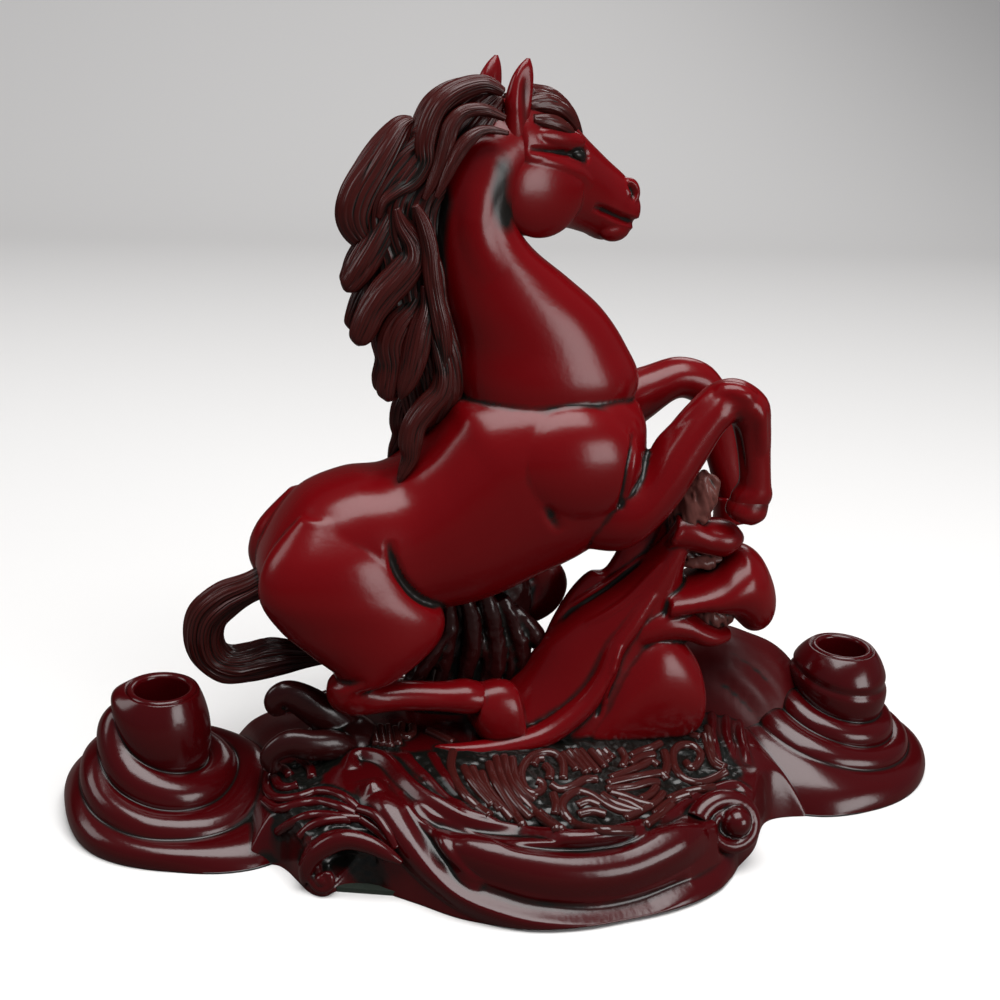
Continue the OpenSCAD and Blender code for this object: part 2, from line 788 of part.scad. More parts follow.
// all that turns with the head
module on_head() {
    on_plinth()
        translate([poll_x, poll_y, 0])
            rotate([0, 0, head_turn])
                translate([-poll_x, 0, 0])
                    children();
}

module head_form() {
    w = head_w/2;
    on_head()
        loft([[-11.5, 141, -10, 134, 0.45*w, 0], [-9.5, 144, -9.5, 126, 0.78*w, 0],
            [-3, 144, -7.5, 119.5, 0.95*w, 0], [3.5, 140.8, -1, 118.5, w, 0],
            [9, 136.8, 4.5, 119.8, 0.88*w, 0], [14.5, 133, 10.5, 118.6, 0.68*w, 0],
            [19.5, 129.6, 15, 117, 0.6*w, 0], [22.5, 126, 19.5, 117.8, 0.56*w, 0],
            [23.3, 122.5, 22, 120, 0.3*w, 0]], full = 0.9);
}

module horse_head() {
    color(red)
        solid()
            difference() {
                head_form();
                neck_form();
            }
}

// upright leaf of one ear
module ear_form(x, y) {
    on_head()
        translate([x, y, 138.5])
            loft([[-2.5, 0, 2.4, 0, 1.6, 0], [-2.7, 0.42*ear_len, 2.7, 0.42*ear_len, 2.1, 0],
                [-1.8, 0.7*ear_len, 2.8, 0.7*ear_len, 1.6, 0],
                [1.2, ear_len, 1.9, ear_len, 0.4, 0]], n = 10);
}

module near_ear() {
    color(red)
        solid()
            difference() {
                ear_form(near_ear_x, -ear_y);
                head_form();
                neck_form();
            }
}

module far_ear() {
    color(red)
        solid()
            difference() {
                ear_form(far_ear_x, ear_y);
                head_form();
                neck_form();
            }
}

// tuft over the forehead, with a strand down each side
module forelock_form() {
    on_head() {
        loft([[-5, 147, -5, 141, 2.4, 0], [0.5, 146.2, -1, 139.5, 3.4, 0], [5, 143, 2.5, 137, 3, 0],
            [8, 138.6, 5, 135.5, 2, 0], [9.4, 135.2, 7.4, 134, 0.5, 0]], n = 8, more = 1);
        for (side = [-1, 1])
            cord([[-7.6, 3.4*side, 143.4, 1.4, 1.5], [-3.6, 3.7*side, 143.4, 2.1, 2.2],
                [0.3, 4*side, 141.9, 2, 2.1], [3.6, 4.4*side, 139, 0.6, 0.6]], n = 6, more = 1);
    }
}

module forelock() {
    color(dark)
        solid()
            difference() {
                forelock_form();
                head_form();
                neck_form();
                ear_form(near_ear_x, -ear_y);
                ear_form(far_ear_x, ear_y);
                crest_form();
            }
}

// roots of the mane, along the crest of the neck
module crest_form() {
    w = mane_w/2;
    on_plinth()
        loft([[-10, 147, -9, 141, 0.4*w, 2], [-19, 144.5, -14, 136, 0.7*w, 1.5],
            [-27, 136, -19, 128, 0.85*w, 1],
            [-30.5, 125, -20, 120, 0.9*w, 0.5], [-29.5, 113, -18, 111, 0.9*w, 0],
            [-27, 102, -15, 101, 0.85*w, 0],
            [-24.5, 92, -14, 93, 0.75*w, 0], [-24.5, 84, -17, 88, 0.5*w, 0]], n = 8, more = 1);
}

module mane_crest() {
    color(dark)
        solid()
            difference() {
                crest_form();
                neck_form();
                trunk_form();
                head_form();
                ear_form(near_ear_x, -ear_y);
                ear_form(far_ear_x, ear_y);
            }
}

// five locks of the mane, from the poll down to the withers
lock_rows = [
    [[-9, 147, -12, 139, 0.5, 2], [-18, 147, -18, 137, 0.8, 1.5], [-27, 141, -23, 132, 1, 1],
        [-34, 133, -28, 127, 0.95, 0.5], [-39.5, 126, -32, 120.5, 0.75, 0],
        [-41.2, 121, -37, 117.5, 0.3, 0]],
    [[-18, 138, -16, 130, 0.6, 1], [-26, 133, -22, 125, 0.9, 0.5], [-32, 126, -26, 119, 1, 0],
        [-36, 118.5, -30, 112.5, 0.85, 0], [-39.6, 113, -35.5, 107.8, 0.5, 0],
        [-40.6, 109.5, -39.4, 108, 0.15, 0]],
    [[-21, 126, -18, 118, 0.3, 0], [-28, 120, -22, 112, 0.85, 0], [-32, 112.5, -25.5, 105.5, 0.95, 0],
        [-34.8, 106, -30, 99.5, 0.75, 0], [-37.2, 101, -34.8, 96.8, 0.4, 0],
        [-38.2, 98.2, -37.6, 97, 0.12, 0]],
    [[-20.5, 113, -16, 106, 0.6, 0], [-26, 107.5, -20, 100, 0.85, 0], [-29, 101, -23, 94.5, 0.85, 0],
        [-31.2, 95, -26.5, 89.5, 0.65, 0], [-32.3, 90.5, -30, 86.8, 0.35, 0],
        [-31.8, 87.6, -31, 86.8, 0.12, 0]],
    [[-18, 101, -14, 95, 0.25, 0], [-22.5, 96, -17, 89, 0.75, 0], [-25.5, 90, -20, 84, 0.85, 0],
        [-28.2, 84, -23, 79.5, 0.6, 0], [-28.2, 78, -25, 75.5, 0.4, 0], [-26.6, 72, -26, 71.5, 0.12, 0]]];

module lock_form(i) {
    on_plinth() loft(lock_rows[i], wide = mane_w/2, n = 9, more = 1);
}

// a lock is cut by the neck, the trunk and the locks above it
module mane_lock(i) {
    color(dark)
        solid()
            difference() {
                lock_form(i);
                neck_form();
                trunk_form();
                head_form();
                ear_form(near_ear_x, -ear_y);
                ear_form(far_ear_x, ear_y);
                forelock_form();
                crest_form();
                for (k = [0:1:i - 1])
                    lock_form(k);
            }
}

module mane_lock_1() mane_lock(0);

module mane_lock_2() mane_lock(1);

module mane_lock_3() mane_lock(2);

module mane_lock_4() mane_lock(3);

module mane_lock_5() mane_lock(4);

// foreleg of the front side, bent at the knee
module near_fore_form() {
    w = limb_w/2;
    on_plinth()
        translate([0, -leg_y, 0])
            loft([[10, 71, 10, 58, 0.7*w, 2], [18.5, 74.5, 17, 58.5, w, 0.6],
                [23, 81.5, 25, 65.5, 0.95*w, 0],
                [28, 88.3, 31, 75.5, 0.83*w, 0], [33, 92.8, 34, 81.5, 0.74*w, 0],
                [38.5, 93.4, 36, 84.5, 0.7*w, 0],
                [44, 89.8, 37.2, 84.5, 0.67*w, 0], [45.6, 84, 38.4, 82, 0.55*w, 0],
                [46.4, 78, 39.8, 77, 0.48*w, 0],
                [47.3, 72, 40.6, 72, 0.49*w, 0], [48, 69, 39.4, 69.7, 0.53*w, 0],
                [46.8, 66, 39, 67.6, 0.48*w, 0]],
                n = 9);
}

module near_fore_hoof_form() {
    w = limb_w/2;
    on_plinth()
        translate([0, -leg_y, 0])
            loft([[47.3, 67.5, 38.4, 69, 0.56*w, 0], [47, 65.5, 38, 66.5, 0.63*w, 0],
                [46.2, 63.3, 37.6, 64.2, 0.68*w, 0]], n = 12, more = 1);
}

// foreleg of the back side, held higher at the shoulder
module far_fore_form() {
    w = limb_w/2;
    on_plinth()
        translate([0, leg_y, 0])
            loft([[11, 84, 12, 70, 0.7*w, -2], [20, 88.5, 20, 74, 0.95*w, -1],
                [27, 90.6, 27.5, 79, 0.8*w, 0],
                [34, 92.5, 33.5, 83.5, 0.7*w, 0], [40.5, 91, 37.5, 83, 0.69*w, 0],
                [44, 86.5, 38.5, 81.5, 0.64*w, 0],
                [46.5, 80, 40.5, 77.5, 0.5*w, 0], [49, 73, 43, 71, 0.48*w, 0],
                [51.5, 66, 45, 64.5, 0.52*w, 0],
                [52, 62, 46.5, 60.5, 0.49*w, 0]], n = 9);
}

module far_fore_hoof_form() {
    w = limb_w/2;
    on_plinth()
        translate([0, leg_y, 0])
            loft([[52.7, 62.5, 45.8, 61, 0.56*w, 0], [53.4, 59.5, 46.2, 58, 0.63*w, 0],
                [54, 56, 46.6, 54.8, 0.68*w, 0]], n = 12, more = 1);
}

module fore_forms() {
    near_fore_form();
    far_fore_form();
    near_fore_hoof_form();
    far_fore_hoof_form();
}

module near_foreleg() {
    color(red)
        solid()
            difference() {
                near_fore_form();
                trunk_form();
                neck_form();
            }
}

module near_fore_hoof() {
    color(dark)
        solid()
            difference() {
                near_fore_hoof_form();
                near_fore_form();
            }
}

module far_foreleg() {
    color(red)
        solid()
            difference() {
                far_fore_form();
                trunk_form();
                neck_form();
            }
}

module far_fore_hoof() {
    color(dark)
        solid()
            difference() {
                far_fore_hoof_form();
                far_fore_form();
            }
}

// hind leg folded under the croup
module hind_form(s) {
    w = limb_w/2;
    on_plinth()
        translate([0, s*hind_y, 0])
            loft([[-48, 66.5, -33, 66.5, 0.5*w, -2*s], [-54.5, 58.5, -29, 60, 1.05*w, -s],
                [-56, 51, -25, 52.5, 1.15*w, 0],
                [-52, 44, -19.8, 46.5, 1.15*w, 0], [-45.5, 38, -20.5, 40.3, 1.1*w, 0],
                [-41, 34, -28, 33.5, 0.95*w, 0],
                [-42.5, 31.5, -33, 32, 0.75*w, 0], [-42, 27.5, -31.5, 31.4, 0.7*w, 0],
                [-38, 25, -29.5, 31.3, 0.62*w, 0],
                [-28.5, 25.2, -26, 31.1, 0.5*w, 0], [-20, 24.5, -19, 30.4, 0.49*w, 0],
                [-14.5, 23.5, -14, 30.6, 0.58*w, 0],
                [-11.5, 23.5, -10, 29.4, 0.52*w, 0]], n = 9);
}

module hind_hoof_form(s) {
    w = limb_w/2;
    on_plinth()
        translate([0, s*hind_y, 0])
            loft([[-12.5, 20.5, -11, 29.6, 0.6*w, 0], [-9, 15.5, -7, 30.2, 0.72*w, 0],
                [-5, 14.5, -3.4, 28.5, 0.72*w, 0], [-1.8, 15, -1.6, 22.5, 0.6*w, 0]], full = 0.8, n = 12);
}

module hind_forms() {
    for (s = [-1, 1]) {
        hind_form(s);
        hind_hoof_form(s);
    }
}

module hind_leg(s) {
    color(red)
        solid()
            difference() {
                hind_form(s);
                trunk_form();
            }
}

module hind_hoof(s) {
    color(dark)
        solid()
            difference() {
                hind_hoof_form(s);
                hind_form(s);
                bank_body();
                wave_form();
            }
}

module near_hind_leg() hind_leg(-1);

module near_hind_hoof() hind_hoof(-1);

module far_hind_leg() hind_leg(1);

module far_hind_hoof() hind_hoof(1);

// tail: out, down and back to the far hock in one loop, behind the pen that stands in the left bore
module tail_form() {
    w = tail_w/2;
    on_plinth()
        loft([[-51, 56, -51, 47.5, 0.6*w, 0], [-56.9, 51.6, -56.2, 45.1, 0.7*w, 1],
            [-63.3, 48.5, -59.2, 41.6, 0.85*w, 3],
            [-68.2, 43.3, -61.1, 38.2, 0.95*w, 5], [-69.6, 36.7, -61, 34.7, w, 6],
            [-68.1, 30.3, -59, 32.3, w, 6.5],
            [-63, 25.4, -55.4, 33.2, w, 6.5], [-56.5, 25, -52.4, 34.6, 0.9*w, 6],
            [-50, 26.7, -48.9, 34.6, 0.75*w, 5],
            [-44.4, 28.6, -44.4, 33.6, 0.56*w, 4],
            [-38, 30, -38, 33, 0.4*w, 3.4], [-33, 31.2, -33, 32.4, 0.12*w, 3]], n = 8);
}

module tail() {
    color(dark)
        solid()
            difference() {
                tail_form();
                trunk_form();
                hind_forms();
            }
}

felt_pad();
base_plinth();
foam_bank();
left_pen_mound();
right_pen_mound();
front_scroll();
front_volute();
leaf_hook();
leaf_frond_1();
leaf_frond_2();
leaf_frond_3();
left_wave_curl();
foam_ripple_1();
foam_ripple_2();
foam_ripple_3();
right_swell();
wave_support();
wave_dowel();
wave_curl_upper();
wave_curl_lower();
foam_cap();
rock_pillar();
rear_wave_curl();
horse_trunk();
horse_neck();
horse_head();
near_ear();
far_ear();
forelock();
mane_crest();
mane_lock_1();
mane_lock_2();
mane_lock_3();
mane_lock_4();
mane_lock_5();
near_foreleg();
near_fore_hoof();
far_foreleg();
far_fore_hoof();
near_hind_leg();
near_hind_hoof();
far_hind_leg();
far_hind_hoof();
tail();
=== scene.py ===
"""Looks of the horse pen holder: a lacquered rearing horse on a carved wave base with two pen holes.

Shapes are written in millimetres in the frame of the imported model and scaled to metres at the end.
"""
import math

import bpy
import numpy as np
from mathutils import Matrix, Vector
from mathutils.bvhtree import BVHTree


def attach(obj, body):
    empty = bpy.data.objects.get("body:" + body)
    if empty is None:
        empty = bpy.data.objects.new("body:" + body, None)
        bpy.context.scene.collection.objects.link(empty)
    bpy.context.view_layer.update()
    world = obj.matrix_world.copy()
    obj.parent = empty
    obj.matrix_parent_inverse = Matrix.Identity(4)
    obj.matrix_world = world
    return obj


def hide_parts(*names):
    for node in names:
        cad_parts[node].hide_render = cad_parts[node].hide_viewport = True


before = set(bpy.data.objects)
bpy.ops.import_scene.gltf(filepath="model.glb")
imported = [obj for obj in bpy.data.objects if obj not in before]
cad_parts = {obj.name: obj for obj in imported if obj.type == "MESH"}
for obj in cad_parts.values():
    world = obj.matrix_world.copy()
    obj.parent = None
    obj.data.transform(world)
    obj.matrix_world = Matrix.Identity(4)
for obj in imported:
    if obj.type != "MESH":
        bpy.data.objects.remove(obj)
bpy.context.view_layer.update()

MM = 0.001
FIGURE_SHIFT = np.array([-1.25, 0, 0])      # the shapes are written from a place left of the middle, mm
UPWARD = (0, 0, 1)
DOWNWARD = (0, 0, -1)
BACKWARD = (0, 1, 0)
SIDES = (-1, 1)                             # near and far side of the horse

# grain of the modelled clay, mm
FINE = 0.42
HORSE_GRAIN = FINE + 0.1
HEAD_GRAIN = 0.3
HOOF_GRAIN = 0.35
FOAM_GRAIN = 0.3
CURL_GRAIN = 0.36
VOLUTE_GRAIN = 0.34
LEAF_GRAIN = 0.3

# camera of the photograph: place in millimetres, axes, and scale of the picture in pixels
EYE = np.array([-80.433, -257.712, 160.0])
EYE_RIGHT = np.array([0.96519657, -0.25410562, 0.06185398])
EYE_DOWN = np.array([-0.02832201, -0.33668204, -0.94119236])
EYE_AHEAD = np.array([0.2599874, 0.90668381, -0.33216113])
FOCAL_PX = 1400
MIDDLE_PX = 500
PX_PER_MM = 4.36

# stations of the horse: x, z of one edge, x, z of the other edge, half width, y
TRUNK = [
    [-55.5, 53, -54.5, 48, 4.1, 0], [-54.5, 57, -52, 43, 9.9, 0], [-50.9, 63.8, -46, 40, 13.5, 0],
    [-46, 69.3, -38, 40.5, 14.9, 0], [-38, 72.6, -30, 42, 14.9, 0], [-30, 73.6, -20, 43.8, 14.5, 0],
    [-24.5, 78, -9.6, 45.9, 15.2, 0], [-20, 84, 1, 50.5, 16, 0], [-17, 88, 11, 55.5, 16.5, 0],
    [-9, 90.5, 18.5, 62, 16.5, 0], [0, 91, 21.5, 73, 14.9, 0], [9, 91, 22, 81.5, 10.9, 0],
    [15, 90, 20.5, 86.5, 5.8, 0]]
NECK = [
    [-15, 82, 17, 82, 11.2, 0], [-17.5, 91, 20.3, 91, 12, 0], [-18.3, 98.7, 16.8, 98.5, 11, 0],
    [-21, 106.5, 11.3, 105.5, 10, 0], [-23.5, 116, 4.5, 111, 9.2, 0.5], [-24, 124, -3, 116.5, 8.7, 1],
    [-22.5, 133, -6.5, 121, 8.5, 1.5], [-18, 140, -6, 126, 8, 2], [-11, 143, -3, 131, 6.2, 2.5]]
HEAD = [
    [-11.5, 141, -10, 134, 3.8, 0], [-9.5, 144, -9.5, 126, 6.6, 0], [-3, 144, -7.5, 119.5, 7.4, 0],
    [3.5, 140.8, -1, 118.5, 7.2, 0], [9, 136.8, 4.5, 119.8, 6, 0], [14.5, 133, 10.5, 118.6, 4.9, 0],
    [19.5, 129.6, 15, 117, 4.6, 0], [22.5, 126, 19.5, 117.8, 4.2, 0], [23.3, 122.5, 22, 120, 2.3, 0]]
NEAR_FORELEG = [
    [10, 71, 10, 58, 4.6, 2], [18.5, 74.5, 17, 58.5, 6.5, 0.6], [23, 81.5, 25, 65.5, 6.2, 0],
    [28, 88.3, 31, 75.5, 5.4, 0], [33, 92.8, 34, 81.5, 4.8, 0], [38.5, 93.4, 36, 84.5, 4.6, 0],
    [44, 89.8, 37.2, 84.5, 4.4, 0], [45.6, 84, 38.4, 82, 3.6, 0], [46.4, 78, 39.8, 77, 3.1, 0],
    [47.3, 72, 40.6, 72, 3.2, 0], [48, 69, 39.4, 69.7, 3.4, 0], [46.8, 66, 39, 67.6, 3.1, 0]]
NEAR_FORE_HOOF = [
    [46.6, 73, 43.4, 73.4, 1.6, 0], [47.1, 69.4, 41.6, 70.4, 2.8, 0], [47.3, 66.6, 39, 68, 3.5, 0],
    [46.8, 64.4, 38.5, 65.6, 3.6, 0], [44.8, 63, 40.2, 63.8, 2.4, 0]]
FAR_FORELEG = [
    [11, 84, 12, 70, 4.6, -2], [20, 88.5, 20, 74, 6.2, -1], [27, 90.6, 27.5, 79, 5.2, 0],
    [34, 92.5, 33.5, 83.5, 4.6, 0], [40.5, 91, 37.5, 83, 4.5, 0], [45, 86.5, 38.5, 81.5, 4.2, 0],
    [48.2, 80, 40.2, 77.5, 3.2, 0], [50.4, 73, 42.4, 71, 3.1, 0], [52, 66, 45, 64.5, 3.4, 0],
    [52, 62, 46.5, 60.5, 3.2, 0]]
FAR_FORE_HOOF = [
    [52.7, 62.5, 45.8, 61, 3.6, 0], [53.4, 59.5, 46.2, 58, 4.1, 0], [54, 56, 46.6, 54.8, 4.4, 0]]
HIND_LEG = [
    [-48, 66.5, -33, 66.5, 3.2, 2], [-54.5, 58.5, -29, 60, 6.8, 1], [-56, 51, -25, 52.5, 7.5, 0],
    [-52, 44, -19.8, 46.5, 7.5, 0], [-45.5, 38, -20.5, 40.3, 7.2, 0], [-41, 34, -28, 33.5, 6.2, 0],
    [-42.5, 31.5, -33, 32, 4.9, 0], [-42, 27.5, -31.5, 31.4, 4.6, 0], [-38, 25, -29.5, 31.3, 4, 0],
    [-28.5, 25.2, -26, 31.1, 3.2, 0], [-20, 24.5, -19, 30.4, 3.2, 0], [-14.5, 23.5, -14, 30.6, 3.8, 0],
    [-11.5, 23.5, -10, 29.4, 3.4, 0]]
HIND_HOOF = [
    [-12.5, 20.5, -11, 29.6, 3.9, 0], [-9, 15.5, -7, 30.2, 4.7, 0], [-5, 14.5, -3.4, 28.5, 4.7, 0],
    [-1.8, 15, -1.6, 22.5, 3.9, 0]]
TAIL = [
    [-51, 56, -51, 47.5, 3, 0], [-56.9, 51.6, -56.2, 45.1, 3.5, 1], [-63.3, 48.5, -59.2, 41.6, 4.2, 3],
    [-68.2, 43.3, -61.1, 38.2, 4.8, 5], [-69.6, 36.7, -61, 34.7, 5, 6], [-68.1, 30.3, -59, 32.3, 5, 6.5],
    [-63, 25.4, -55.4, 33.2, 5, 6.5], [-56.5, 25, -52.4, 34.6, 4.5, 6], [-50, 26.7, -48.9, 34.6, 3.8, 5],
    [-44.4, 28.6, -44.4, 33.6, 2.8, 4], [-38, 30, -38, 33, 2, 3.4], [-33, 31.2, -33, 32.4, 0.6, 3]]
EAR = [
    [-2.4, -2, 2.4, -2, 1.6, 0], [-2.6, 2.6, 2.5, 2.6, 2, 0], [-2.7, 5.5, 2.7, 5.5, 2.1, 0],
    [-1.8, 9.1, 2.8, 9.1, 1.6, 0], [-0.4, 11.4, 2.5, 11.4, 1, 0], [1.2, 12.9, 1.9, 12.9, 0.3, 0]]
FORELOCK_CORE = [
    [-5, 147, -5, 141, 2.4, 0], [0.5, 146.2, -1, 139.5, 3.4, 0], [5, 143, 2.5, 137, 3, 0],
    [8, 138.6, 5, 135.5, 2, 0], [9.4, 135.2, 7.4, 134, 0.5, 0]]
FORELEG_Y = 11
HIND_Y = 10.5
# hooves: stations, y, strokes that rub them round
HOOVES = [
    ("near_fore_hoof", NEAR_FORE_HOOF, -FORELEG_Y, 34), ("far_fore_hoof", FAR_FORE_HOOF, FORELEG_Y, 34),
    ("near_hind_hoof", HIND_HOOF, -HIND_Y, 20), ("far_hind_hoof", HIND_HOOF, HIND_Y, 20)]
# lumps: centre, radii, then a turn in degrees about an axis and the count of rings where they have them
SHOULDER = ((4, 10.5, 76), (15, 7.6, 12.75))
HEAD_LUMPS = [
    ((-3.8, 5.2, 127.6), (9.6, 3, 8.8)), ((-1.6, 5.5, 137.4), (6.6, 2, 2.3), (8, "Y")),
    ((19, 2.6, 126.4), (3, 1.9, 3.2)), ((16.5, 2.4, 119.5), (4, 1.8, 2.6))]
EYEBALLS = [((3.2, 5.9, 134.3), (1.7, 1, 1.1), (18, "Y"), 18)]
# places that are smoothed more than the rest
HIP = (-42, 0, 62)
CHEEK = (5, 6, 127)
# the head is turned to the far side, in degrees, about an upright line
HEAD_TURN = 20
HEAD_PIVOT_X = -8
HEAD_Y = 2.5
EARS = [("near_ear", -10.2, -4.25), ("far_ear", -11.4, 4.25)]
EAR_Z = 138.5
# hollow of the ear: depth, place and spread as x and z, how soon it sets in, and how dark the painted shade
# in it is
EAR_DENT = 1.1
EAR_DENT_AT = (0.5, 6)
EAR_DENT_SIZE = (1.5, 4.4)
EAR_FACE = 1.2
EAR_PAINTED_SHADE = 0.2
# strands of the forelock on the far side: x, y, z, half height, half width
FORELOCK_STRANDS = [
    [[-7.6, 3.4, 143.4, 1.4, 1.5], [-3.6, 3.7, 143.4, 2.1, 2.2], [0.3, 4, 141.9, 2, 2.1],
     [3.6, 4.4, 139, 0.6, 0.6]],
    [[-7.4, 5.2, 140.8, 0.9, 1], [-4.2, 5.9, 140.4, 1.5, 1.5], [-0.6, 5.9, 139.2, 1.6, 1.5],
     [2.8, 5.4, 137.4, 0.6, 0.6]]]

# mane in pixels of the photograph: core from poll to withers, as two edges and a half width in mm
CREST_PX = [
    [(492, 78), (504, 108), 3], [(455, 92), (492, 135), 5], [(425, 120), (476, 160), 5.8],
    [(385, 150), (462, 185), 6], [(357, 190), (448, 208), 6], [(352, 225), (448, 238), 6],
    [(362, 258), (456, 268), 6], [(362, 290), (460, 298), 6], [(375, 325), (468, 328), 5.8],
    [(386, 360), (476, 358), 5.6], [(398, 395), (474, 390), 5], [(408, 430), (452, 414), 3]]
# locks on the near side: depth y in mm, then the path and the half width in pixels
LOCKS_PX = [
    (-4.5, [(503, 92, 4), (485, 84, 7), (462, 89, 9), (443, 102, 10), (432, 120, 10), (426, 143, 10),
            (426, 163, 9), (415, 181, 8), (398, 192, 7), (385, 202, 5), (378, 218, 2)]),
    (-6.5, [(505, 118, 3), (485, 110, 5), (465, 112, 6), (452, 125, 7), (446, 145, 7), (440, 165, 6),
            (432, 185, 5), (424, 200, 2)]),
    (-7.6, [(508, 133, 2), (485, 130, 4), (468, 140, 6), (456, 157, 6), (446, 177, 5), (436, 198, 2)]),
    (-1.5, [(413, 119, 3), (402, 127, 10), (388, 148, 15), (373, 172, 17), (360, 195, 18), (355, 215, 17),
            (360, 232, 13), (372, 244, 7), (384, 252, 2)]),
    (-3, [(404, 190, 4), (394, 208, 9), (384, 228, 12), (373, 248, 13), (362, 266, 13), (354, 279, 11),
          (348, 287, 8), (345, 291, 2)]),
    (-5.2, [(396, 208, 3), (402, 224, 8), (413, 243, 11), (413, 260, 13), (400, 277, 14), (385, 293, 14),
            (373, 310, 13), (365, 327, 12), (359, 340, 9), (357, 345, 2)]),
    (-4, [(420, 272, 4), (420, 290, 8), (412, 307, 11), (398, 324, 14), (391, 343, 14), (393, 364, 12),
          (390, 384, 12), (388, 396, 9), (387, 401, 2)]),
    (-6.2, [(424, 285, 3), (427, 305, 8), (421, 328, 11), (416, 350, 12), (411, 370, 11), (404, 388, 8),
            (400, 398, 2)]),
    (-6.8, [(432, 330, 3), (440, 352, 8), (444, 374, 9), (440, 392, 10), (427, 407, 11), (415, 424, 11),
            (411, 442, 11), (410, 458, 8), (403, 473, 5), (398, 483, 1)]),
    (-7.4, [(415, 205, 3), (424, 225, 6), (430, 250, 7), (432, 275, 8), (436, 300, 8), (441, 325, 9),
            (444, 350, 7), (443, 370, 3)])]
LOCK_GROUPS = {
    "mane_lock_1": [0, 1, 2], "mane_lock_2": [3, 4], "mane_lock_3": [5, 9], "mane_lock_4": [6, 7],
    "mane_lock_5": [8]}

# wave: stations as of the horse
WAVE = [
    [-19, 13.5, 30, 9, 9, -4], [-9, 20, 36, 15, 9.5, -4], [-1, 28, 37, 23, 9, -4], [4, 36, 34, 31, 8, -4],
    [10, 42, 33, 38, 7.6, -4], [17, 47.5, 33, 46, 7.1, -4], [24, 54, 33, 54, 6.6, -4],
    [27.5, 60.5, 35, 60, 5.7, -4], [30, 66, 36.5, 65, 3.8, -4]]
UPPER_CURL = [
    [28.5, 48, 27.5, 41, 7.4, -5.5], [33.5, 49, 35, 42.5, 8.2, -5.8], [38, 51, 39.5, 42, 8.8, -6],
    [41.5, 54, 43.5, 41, 9, -6], [45.5, 56, 46, 39, 8.8, -5.8], [49.5, 54, 49, 36.5, 7.8, -5.5],
    [53, 48.5, 52, 36.5, 5.8, -5], [55, 43, 54.5, 38.5, 2.8, -4]]
CREST_CURL = [
    [29, 64.5, 27, 57, 4, -7], [32, 64.5, 32.5, 56, 4.6, -7], [35.5, 63, 36.5, 55, 4.8, -7],
    [39.5, 62.5, 40, 54.5, 5, -7], [42.5, 61.5, 43, 56, 3.8, -7], [44.5, 59.5, 44.5, 57.5, 1.6, -7]]
LOWER_CURL = [
    [23, 44, 22, 34, 4, -8], [27.5, 44.5, 28.5, 36, 4.6, -8], [32, 43.5, 33.5, 36, 4.6, -8],
    [36.5, 41, 37.5, 34.5, 4.4, -8], [40.5, 39, 40.5, 34.5, 3.8, -8], [44, 38, 43.5, 35, 2, -8]]
FOAM_CAP = [
    [28, 61, 34, 58, 3, -6], [28.6, 66.5, 35.6, 62.5, 4, -7], [30, 71, 37, 67, 3.6, -8],
    [33.6, 74.2, 37, 71.6, 2, -9]]
ROCK = [
    [-24, 12, 4, 10, 8, 6.4], [-22, 26, 4, 26, 7.5, 6.4], [-19, 37, 4, 38, 6.5, 6.4],
    [-16, 48, 2, 51.6, 5.5, 6.4]]
SWELL = [
    [30, 16, 30, 2, 5, 8], [37, 25, 37, -6, 9, 8], [44, 30, 44, -12, 12, 8], [51, 30.5, 51, -13, 14, 8],
    [58, 28, 58, -11, 14, 8], [64, 25, 64, -7, 13, 8.5], [69, 20.5, 69, -2, 11, 9], [74, 13, 74, 4, 8, 9]]
WAVE_MID_Y = -4
ROCK_MID_Y = 6.4
SWELL_FOOT = 1.2
FOAM_LUMPS = [((40.5, -5.5, 40.6), (5.6, 4.2, 3.2)), ((37, -4, 52.8), (6, 4, 2.2))]
# rolls of the wave: x, y, z, half height, half width
FOLD = [
    [24.8, -9.8, 47.5, 1.4, 1.6], [20.9, -10.6, 41.8, 1.9, 2.0], [17, -11, 36, 2.3, 2.2],
    [14.7, -11.8, 30, 2.7, 2.4], [10.5, -12.4, 24.1, 2.9, 2.6], [2.9, -13.2, 18.6, 2.8, 2.6],
    [-5.5, -13.8, 16.8, 2.3, 2.2], [-12.6, -14, 16.6, 1.8, 1.7], [-17.4, -13.4, 16.8, 1.2, 1.1],
    [-20.6, -12.6, 17.2, 0.4, 0.4]]
FAR_ROLL = [
    [-9, 6, 38, 1.2, 3], [-3.4, 6, 39.4, 2.2, 4], [1.2, 6, 38.9, 2.4, 4.4], [5.6, 6, 40.6, 2.4, 4.4],
    [7.2, 6, 43.8, 2.2, 4.2], [6, 6, 47, 1.9, 3.6], [3.6, 6, 48.6, 1.6, 3], [0.8, 6, 47.2, 1.2, 2.2],
    [0.6, 6, 45, 0.5, 1]]
FAR_ROLL_CORE = ((2.6, 6.5, 43.4), (4, 2, 4))
# right face of the wave in pixels of the photograph: its two edges and its half width in mm
FACE_PX = [
    [(560, 725), (560, 750), 4], [(590, 700), (590, 752), 6], [(620, 655), (620, 750), 7],
    [(650, 628), (650, 745), 7.4], [(675, 634), (675, 738), 7], [(694, 655), (694, 726), 5.6],
    [(701, 680), (701, 704), 3]]
FACE_Y = -8
# thin left sheet of the wave: outer edge and inner edge in pixels, half thickness in mm
SHEET_PX = [
    [(690, 474), (712, 486), 1.6], [(674, 496), (706, 508), 2.2], [(655, 517), (694, 528), 2.4],
    [(636, 530), (672, 545), 2.4], [(622, 541), (652, 558), 2.4], [(614, 556), (645, 578), 2.4],
    [(604, 569), (636, 600), 2.6], [(590, 571), (624, 618), 2.8], [(576, 583), (608, 640), 3],
    [(562, 602), (590, 668), 3.2], [(549, 626), (574, 692), 3.2], [(541, 648), (560, 712), 3],
    [(534, 672), (548, 722), 2]]
SHEET_Y = -2
